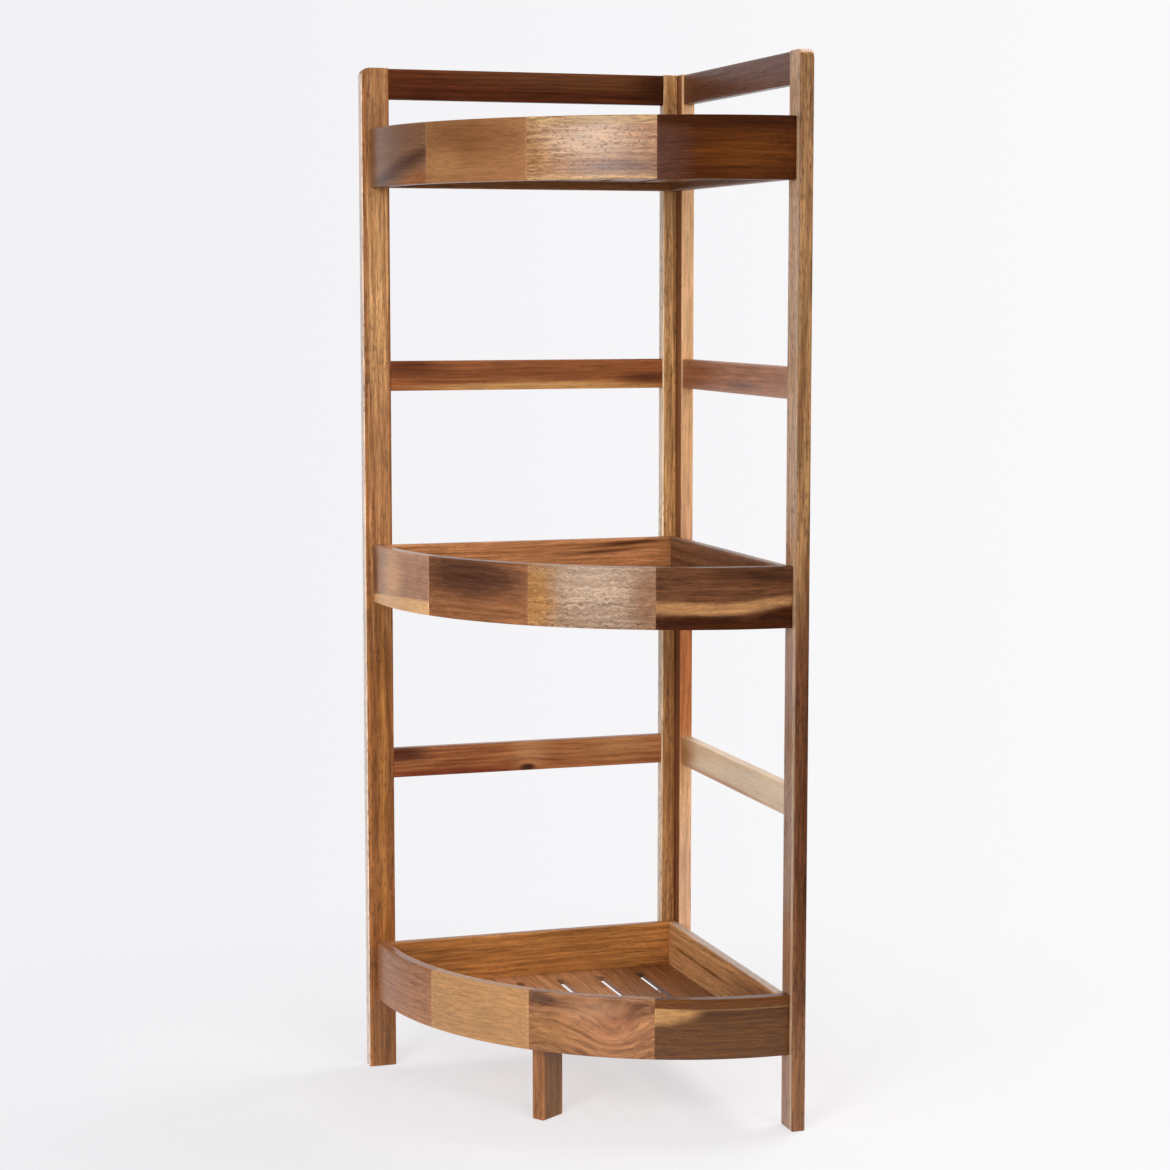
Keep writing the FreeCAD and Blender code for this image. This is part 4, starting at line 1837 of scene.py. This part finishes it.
@dataclass(frozen=True)
class Studio:
    """Pale floor that fades into a white surround, soft light and the camera."""

    floor_colour: Colour = (0.88, 0.87, 0.88, 1.0)
    floor_glow: float = 0.5
    glow_strength: float = 1.25
    floor_radius: float = 4.0
    floor_sides: int = 96
    floor_fade: tuple[float, float] = (0.3, 0.8)
    floor_blend: float = 0.8
    surround_left: Colour = (0.885, 0.88, 0.905, 1.0)
    surround_right: Colour = (0.955, 0.95, 0.965, 1.0)
    surround_blend: float = 0.25
    right_way: Triple = (0.952, -0.305, 0.0)
    backdrop_way: Triple = (0.3, 0.95, 0.0)
    backdrop_edge: tuple[float, float] = (0.3, 0.8)
    front_gloom: float = 0.08
    ambient_colour: Colour = (1.0, 1.0, 1.0, 1.0)
    ambient: float = 0.3
    camera_place: Triple = (-0.6796, -2.1438, 0.6923)
    camera_turn: Triple = (83.67, 0.0, -17.77)
    lens: float = 82.54
    sensor: float = 36.0
    lights: tuple[Softbox, ...] = (
        Softbox("key_softbox", (-1.75, -1.85, 1.1), (0.0, 0.0, 0.45), (1.0, 1.7), 36.0),
        Softbox("fill_softbox", (0.7, -2.6, 1.3), (0.0, 0.0, 0.4), (1.6, 1.6), 28.0, mirrored=False),
        Softbox("top_softbox", (1.15, 0.35, 2.2), (0.0, 0.0, 0.3), (0.9, 0.9), 17.0),
    )

    def build(self) -> None:
        """Builds the floor, the surround, the lights and the camera."""
        self.build_floor()
        self.build_world()
        for light in self.lights:
            light.build()
        self.build_camera()
        bpy.context.scene.view_settings.view_transform = "Standard"

    def build_floor(self) -> None:
        """Makes the floor, which keeps the shadow and fades out far from the shelf."""
        work = bmesh.new()
        bmesh.ops.create_circle(work, cap_ends=True, segments=self.floor_sides, radius=self.floor_radius)
        floor = new_object("studio_floor", mesh_of(work, "studio_floor"))
        material = bpy.data.materials.new("studio_floor")
        nodes = NodeWriter.blank(material)
        place = nodes.add("ShaderNodeTexCoord").outputs["Object"]
        fade = nodes.ramped(nodes.measure("LENGTH", place), *self.floor_fade)
        paper = nodes.output("ShaderNodeBsdfDiffuse", {"Color": self.floor_colour})
        tone = self.sideways(nodes, place, self.floor_blend)
        glow = nodes.output("ShaderNodeEmission", {"Color": tone, "Strength": self.glow_strength})
        share = nodes.math("MULTIPLY", self.seen(nodes)[1], self.floor_glow)
        bright = nodes.output("ShaderNodeMixShader", {0: share, 1: paper, 2: glow})
        clear = nodes.output("ShaderNodeBsdfTransparent")
        blend = nodes.output("ShaderNodeMixShader", {0: fade, 1: bright, 2: clear})
        nodes.add("ShaderNodeOutputMaterial", {"Surface": blend})
        floor.data.materials.append(material)

    @staticmethod
    def seen(nodes: NodeWriter) -> tuple[Socket, Socket]:
        """Tells the rays that show the surround from those that light the shelf.

        Args:
            nodes: Writer of the material or the world.

        Returns:
            Masks of what is seen straight or through glass, and of that with mirror images added.
        """
        path = nodes.add("ShaderNodeLightPath").outputs
        direct = nodes.largest(path["Is Camera Ray"], path["Is Transmission Ray"])
        return direct, nodes.largest(direct, path["Is Glossy Ray"])

    def sideways(self, nodes: NodeWriter, place: Socket, reach: float) -> Socket:
        """Blends the surround's tones from left to right.

        Args:
            nodes: Writer of the material or the world.
            place: Place or direction.
            reach: Where the blend ends, on both sides.

        Returns:
            Socket of the colour.
        """
        share = nodes.ramped(nodes.measure("DOT_PRODUCT", place, self.right_way), -reach, reach)
        return nodes.mixed(share, self.surround_left, self.surround_right)

    def build_world(self) -> None:
        """Makes the surround: white where it is seen, a backdrop in mirror images, plain where it lights."""
        world = bpy.data.worlds.new("studio")
        bpy.context.scene.world = world
        nodes = NodeWriter.blank(world)
        way = nodes.add("ShaderNodeTexCoord").outputs["Generated"]
        backdrop = nodes.ramped(nodes.measure("DOT_PRODUCT", way, self.backdrop_way), *self.backdrop_edge)
        direct, seen = self.seen(nodes)
        shown = nodes.output("ShaderNodeBackground", {
            "Color": self.sideways(nodes, way, self.surround_blend),
            "Strength": nodes.largest(backdrop, self.front_gloom, direct),
        })
        plain = {"Color": self.ambient_colour, "Strength": self.ambient}
        lit = nodes.output("ShaderNodeBackground", plain)
        blend = nodes.output("ShaderNodeMixShader", {0: seen, 1: lit, 2: shown})
        nodes.add("ShaderNodeOutputWorld", {"Surface": blend})

    def build_camera(self) -> None:
        """Makes the camera at the photograph's viewing angle."""
        data = bpy.data.cameras.new("camera")
        data.lens = self.lens
        data.sensor_width = self.sensor
        camera = new_object("camera", data)
        camera.location = self.camera_place
        camera.rotation_euler = [math.radians(angle) for angle in self.camera_turn]
        bpy.context.scene.camera = camera


def main() -> None:
    """Builds the shelf's sub-assemblies over the frame, then the studio."""
    logging.basicConfig(level=logging.INFO, format="%(name)s: %(message)s")
    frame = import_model()
    shop = Workshop(frame["record"])
    trays = [Tray(level) for level in Level]
    leg = FrontLeg()
    holes = [hole for tray in trays for hole in tray.dowels().holes()]
    for side in Side:
        Ladder(side).build(shop, holes)
    for tray in trays:
        tray.build(shop, leg.dowels().holes() if tray.level is Level.BOTTOM else ())
    leg.build(shop)
    Studio().build()


if __name__ == "__main__":
    main()
